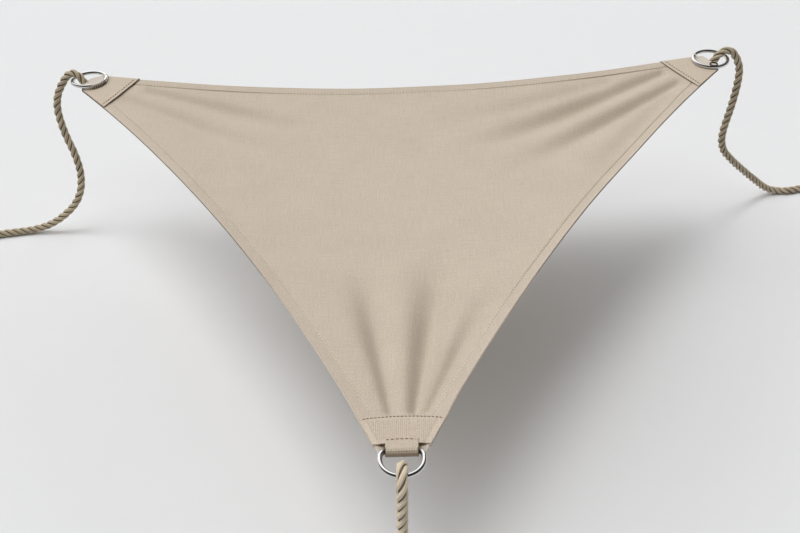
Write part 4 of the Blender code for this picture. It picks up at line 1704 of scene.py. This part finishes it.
@dataclass
class Lashings:
    """Twine that holds the ropes' tails: the near rope's seizing, and loops under the far corners."""

    shape: SailShape
    legs: tuple[float, float] = (-22.6 * MM, -35.4 * MM)    # y of the near rope's tail and long part
    top: float = -100.0 * MM
    height: float = 20.0 * MM
    rope_radius: float = 6.2 * MM
    thread: float = 0.7 * MM
    places: tuple[float, ...] = (8.0 * MM, 22.0 * MM, 36.0 * MM)    # of the loops, along a tail
    loop_turns: int = 3

    def seizing(self) -> bpy.types.Object:
        """Round turns about both legs: a racetrack outline that sinks one thread's width each turn.

        Returns:
            The piece.
        """
        turns = int(self.height / (2 * self.thread))
        share = np.linspace(0, turns, 56 * turns + 1)
        turn = 2 * np.pi * share
        reach = self.rope_radius + self.thread
        middle, half = sum(self.legs) / 2, abs(self.legs[0] - self.legs[1]) / 2
        y = middle + reach * np.sin(turn) + half * np.clip(6 * np.sin(turn), -1, 1)
        z = self.top - self.thread - share / turns * (self.height - 2 * self.thread)
        line = np.stack([reach * np.cos(turn), y, z], -1)
        made = tube(line, self.thread, UP, sides=7).piece("seizing_turns", TWINE, "twine")
        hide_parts("seizing_near")
        return made

    def under(self, rope: Rope) -> list[Surface]:
        """Loops round a far rope's tail, taller than they are wide so that they enter the cloth.

        Args:
            rope: the rope whose tail is held.

        Returns:
            The loops.
        """
        line = rope.line()
        run, tangent = run_of(line), frames(line, rope.reference)[0]
        up = self.shape.turned(UP)
        reach = self.rope_radius + 0.8 * self.thread
        wound = np.linspace(0, 2 * np.pi * self.loop_turns, 100)[:, None]
        rise = reach * np.sin(wound)
        rise = np.where(rise > 0, rise * 1.12, rise)
        ahead = (wound / (2 * np.pi) - self.loop_turns / 2) * 2 * self.thread
        coils = []
        for away in self.places:
            middle, along = read_at(away, run, line), read_at(away, run, tangent)
            coil = middle + reach * np.cos(wound) * unit(np.cross(up, along)) + rise * up + ahead * along
            coils.append(tube(coil, self.thread, along, sides=7))
        return coils

    def build(self, far_ropes: list[Rope]) -> None:
        """The seizing, and the loops that hold the far ropes' tails as one piece.

        Args:
            far_ropes: the left and the right rope.
        """
        self.seizing()
        loops = [loop for rope in far_ropes for loop in self.under(rope)]
        Surface.joined(loops).piece("tail_lashings", TWINE, "twine")


# middles of the ropes in mm, from the bound tail up through the ring and down to the free end
ROUTES = {
    Corner.LEFT: [(-430, 762, -12.1), (-446, 769, -12.3), (-461, 776, -12.6), (-472, 780.5, -12.9),
                  (-480, 783.5, -11.8), (-486.5, 785.5, -8), (-491.5, 787, -2.2), (-496, 788.5, 3.6),
                  (-500.5, 790, 7.4), (-506, 791.5, 8.9), (-512, 792.5, 7.4), (-518.8, 793, 1.6),
                  (-525.7, 793, -8), (-532, 792, -18), (-537, 791, -29), (-540, 790, -40), (-541, 788, -51),
                  (-540.5, 786, -63), (-537, 782.5, -85), (-532, 779, -104), (-526.5, 776, -121),
                  (-522.5, 773, -138), (-520, 770, -156), (-520.5, 767, -173), (-524, 764, -191),
                  (-531.5, 761, -208), (-541.5, 759, -221.5), (-552.5, 757, -232), (-564.5, 755.5, -241.5),
                  (-577, 754.5, -249.5), (-592, 754.5, -257), (-609, 753.5, -262), (-626, 751, -264),
                  (-645, 747, -264), (-667, 742, -264), (-700, 731, -264), (-728, 718, -264)],
    Corner.RIGHT: [(430, 762, 17.2), (446, 769, 17.8), (461, 776, 18.5), (471, 780.8, 19.4),
                   (478.5, 784.3, 21.6), (483.5, 787, 26.6), (488, 789, 32.6), (493, 791, 38.2),
                   (499, 793.3, 42.2), (505.5, 795.3, 43.4), (512, 797, 42), (519.2, 798, 35.8),
                   (525.9, 799, 25.8), (530.1, 799, 16.2), (532.9, 800, 6.3), (534.4, 800.5, -10),
                   (534.3, 801.5, -32), (532.8, 802.5, -60), (530.4, 804, -85), (528.9, 805, -105),
                   (530.4, 807, -125), (538, 811, -146), (552, 817, -164), (566.6, 823, -180),
                   (583.6, 831, -197.5), (601, 839, -215), (618.5, 847.5, -232), (635, 856, -248),
                   (650, 862, -259), (668.5, 864.8, -264), (682.5, 864.5, -264), (697.5, 868, -264),
                   (712, 873, -264), (740, 886, -264)],
    Corner.NEAR: [(0, -22.6, -136), (0, -22.6, -120), (0, -22.6, -98), (0, -19, -76), (0, -14, -52),
                  (0, -10.5, -28), (0, -9.6, -10), (0, -13, 3.8), (0, -22.2, 9.2), (0, -31.5, 4.6),
                  (0, -35.6, -8), (0, -36, -26), (0, -36, -60), (0, -35.4, -98), (0, -35.4, -122),
                  (0, -35, -160), (0, -35, -200), (2, -36, -226), (9, -40, -246), (22, -48, -259),
                  (42, -58, -264), (70, -68, -264), (102, -74, -264), (136, -75, -264), (168, -70, -264)],
}


# ---------------------------------------------------------------- studio

@dataclass(frozen=True)
class Lamp:
    """A far, soft light whose rays come from a round patch of the sky, its place given in degrees."""

    name: str
    azimuth: float                      # from +X towards +Y
    elevation: float
    strength: float
    width: float = 26.0

    def build(self) -> None:
        """Turns the light's beam to come from (cos a·cos e, sin a·cos e, sin e)."""
        light = bpy.data.lights.new(self.name, "SUN")
        light.angle = math.radians(self.width)
        light.energy = self.strength
        turn, rise = math.radians(self.azimuth), math.radians(self.elevation)
        out = Vector((math.cos(turn) * math.cos(rise), math.sin(turn) * math.cos(rise), math.sin(rise)))
        made = bpy.data.objects.new(self.name, light)
        made.rotation_euler = (-out).to_track_quat("-Z", "Y").to_euler()
        made.visible_glossy = False
        bpy.context.scene.collection.objects.link(made)


@dataclass
class Studio:
    """Camera, floor, lights and surroundings."""

    eye: tuple[float, float, float] = (-0.0057, -0.7569, 0.8357)
    yaw: float = 0.0049                 # radians to the right
    down: float = 38.0                  # degrees
    lens: float = 50.0                  # mm, as the sensor
    sensor: float = 36.0
    floor_level: float = -0.2703
    floor_half: float = 7.0
    lamps: tuple[Lamp, ...] = (
        Lamp("overhead_left", 180.0, 80.0, 0.90),
        Lamp("overhead_back", 90.0, 80.0, 0.15),
        Lamp("low_left", 180.0, 35.0, 0.54),
        Lamp("low_back_left", 135.0, 35.0, 0.30),
        Lamp("back_left", 157.5, 58.0, 0.40),
        Lamp("front_left", 202.5, 58.0, 0.36),
        Lamp("front", 247.5, 58.0, 0.40),
        Lamp("front_right", 292.5, 58.0, 0.18),
        Lamp("back_right", 67.5, 58.0, 0.26),
        Lamp("low_back_right", 45.0, 35.0, 0.34),
        Lamp("low_right", 0.0, 35.0, 0.12),
    )
    box: tuple[float, float, float] = (-0.3, 0.78, 0.55)
    box_tones: tuple[tuple[float, float], ...] = ((0.0, 0.05), (0.6, 0.06), (0.78, 0.2), (0.87, 1.5),
                                                  (1.0, 1.7))     # cosine to the box, and tone
    horizon: tuple[float, float, float, float] = (0.1, 0.26, 0.62, 0.0)     # from and to, height and tone

    def camera(self) -> None:
        """A 50 mm view, level, from in front of and above the near corner."""
        camera = bpy.data.cameras.new("camera")
        camera.lens, camera.sensor_width, camera.clip_start = self.lens, self.sensor, 10 * MM
        made = bpy.data.objects.new("camera", camera)
        made.location = self.eye
        pitch = math.radians(self.down)
        ahead = Vector((math.sin(self.yaw) * math.cos(pitch), math.cos(self.yaw) * math.cos(pitch),
                        -math.sin(pitch)))
        made.rotation_euler = ahead.to_track_quat("-Z", "Y").to_euler()
        bpy.context.scene.collection.objects.link(made)
        bpy.context.scene.camera = made

    def floor(self) -> None:
        """A flat pale floor, a grid of x and y at one height."""
        side = np.linspace(-self.floor_half, self.floor_half, 9)
        x, y = np.meshgrid(side, side)
        points = np.stack([x, y, np.full_like(x, self.floor_level)], -1)
        surface = Surface.grid(points, points[..., :2])
        mesh = bpy.data.meshes.new("floor")
        mesh.from_pydata(surface.points.tolist(), [], surface.quads.tolist())
        mesh.materials.append(material_of(Floor("studio_floor")))
        made = bpy.data.objects.new("floor", mesh)
        bpy.context.scene.collection.objects.link(made)

    def world(self) -> None:
        """Surroundings that only the steel and the camera see: dark, with a bright soft box whose tone
        follows the cosine between a direction and the box's middle, and a pale horizon.
        """
        world = bpy.data.worlds.new("studio")
        world.use_nodes = True
        bpy.context.scene.world = world
        nodes, links = world.node_tree.nodes, world.node_tree.links
        place = nodes.new("ShaderNodeTexCoord").outputs["Generated"]
        cosine = nodes.new("ShaderNodeVectorMath")
        cosine.operation = "DOT_PRODUCT"
        cosine.inputs[1].default_value = Vector(self.box).normalized()
        ramp = nodes.new("ShaderNodeValToRGB")
        while len(ramp.color_ramp.elements) < len(self.box_tones):
            ramp.color_ramp.elements.new(0.5)
        for element, (position, tone) in zip(ramp.color_ramp.elements, self.box_tones):
            element.position, element.color = position, (tone, tone, tone, 1.0)
        parts = nodes.new("ShaderNodeSeparateXYZ")
        horizon = nodes.new("ShaderNodeMapRange")
        for socket, value in zip(("From Min", "From Max", "To Min", "To Max"), self.horizon):
            horizon.inputs[socket].default_value = value
        total = nodes.new("ShaderNodeVectorMath")
        for output, socket in ((place, cosine.inputs[0]), (cosine.outputs["Value"], ramp.inputs[0]),
                               (place, parts.inputs[0]), (parts.outputs["Z"], horizon.inputs["Value"]),
                               (ramp.outputs[0], total.inputs[0]), (horizon.outputs[0], total.inputs[1]),
                               (total.outputs[0], nodes["Background"].inputs["Color"])):
            links.new(output, socket)
        world.cycles_visibility.diffuse = False

    def build(self) -> None:
        """Floor, lights and surroundings; the camera is made before everything else."""
        bpy.context.scene.view_settings.view_transform = "Standard"
        self.floor()
        self.world()
        for lamp in self.lamps:
            lamp.build()
        LOG.info("studio: floor and %d lights", len(self.lamps))


def main() -> None:
    """Builds the sail from its ropes inwards."""
    logging.basicConfig(level=logging.INFO, format="%(name)s: %(message)s")
    studio = Studio()
    studio.camera()
    shape = SailShape()
    far_ropes = [Rope(corner, np.array(ROUTES[corner], float), np.array([0.0, 1.0, 0.0]), FAR_ROPE)
                 for corner in (Corner.LEFT, Corner.RIGHT)]
    near_rope = Rope(Corner.NEAR, np.array(ROUTES[Corner.NEAR], float), np.array([1.0, 0.0, 1.0]), NEAR_ROPE,
                     lay=42.0 * MM)
    for rope in (*far_ropes, near_rope):
        rope.build()
    Lashings(shape).build(far_ropes)
    sheet, *with_sheet = Cloth(shape).build()
    patches = Patches(shape)
    with_sheet += [patches.far(-1), patches.far(1), patches.near(), *patches.seams()]
    with_sheet += Tab(shape).build()
    Rings(shape).build()
    studio.build()


if __name__ == "__main__":
    main()
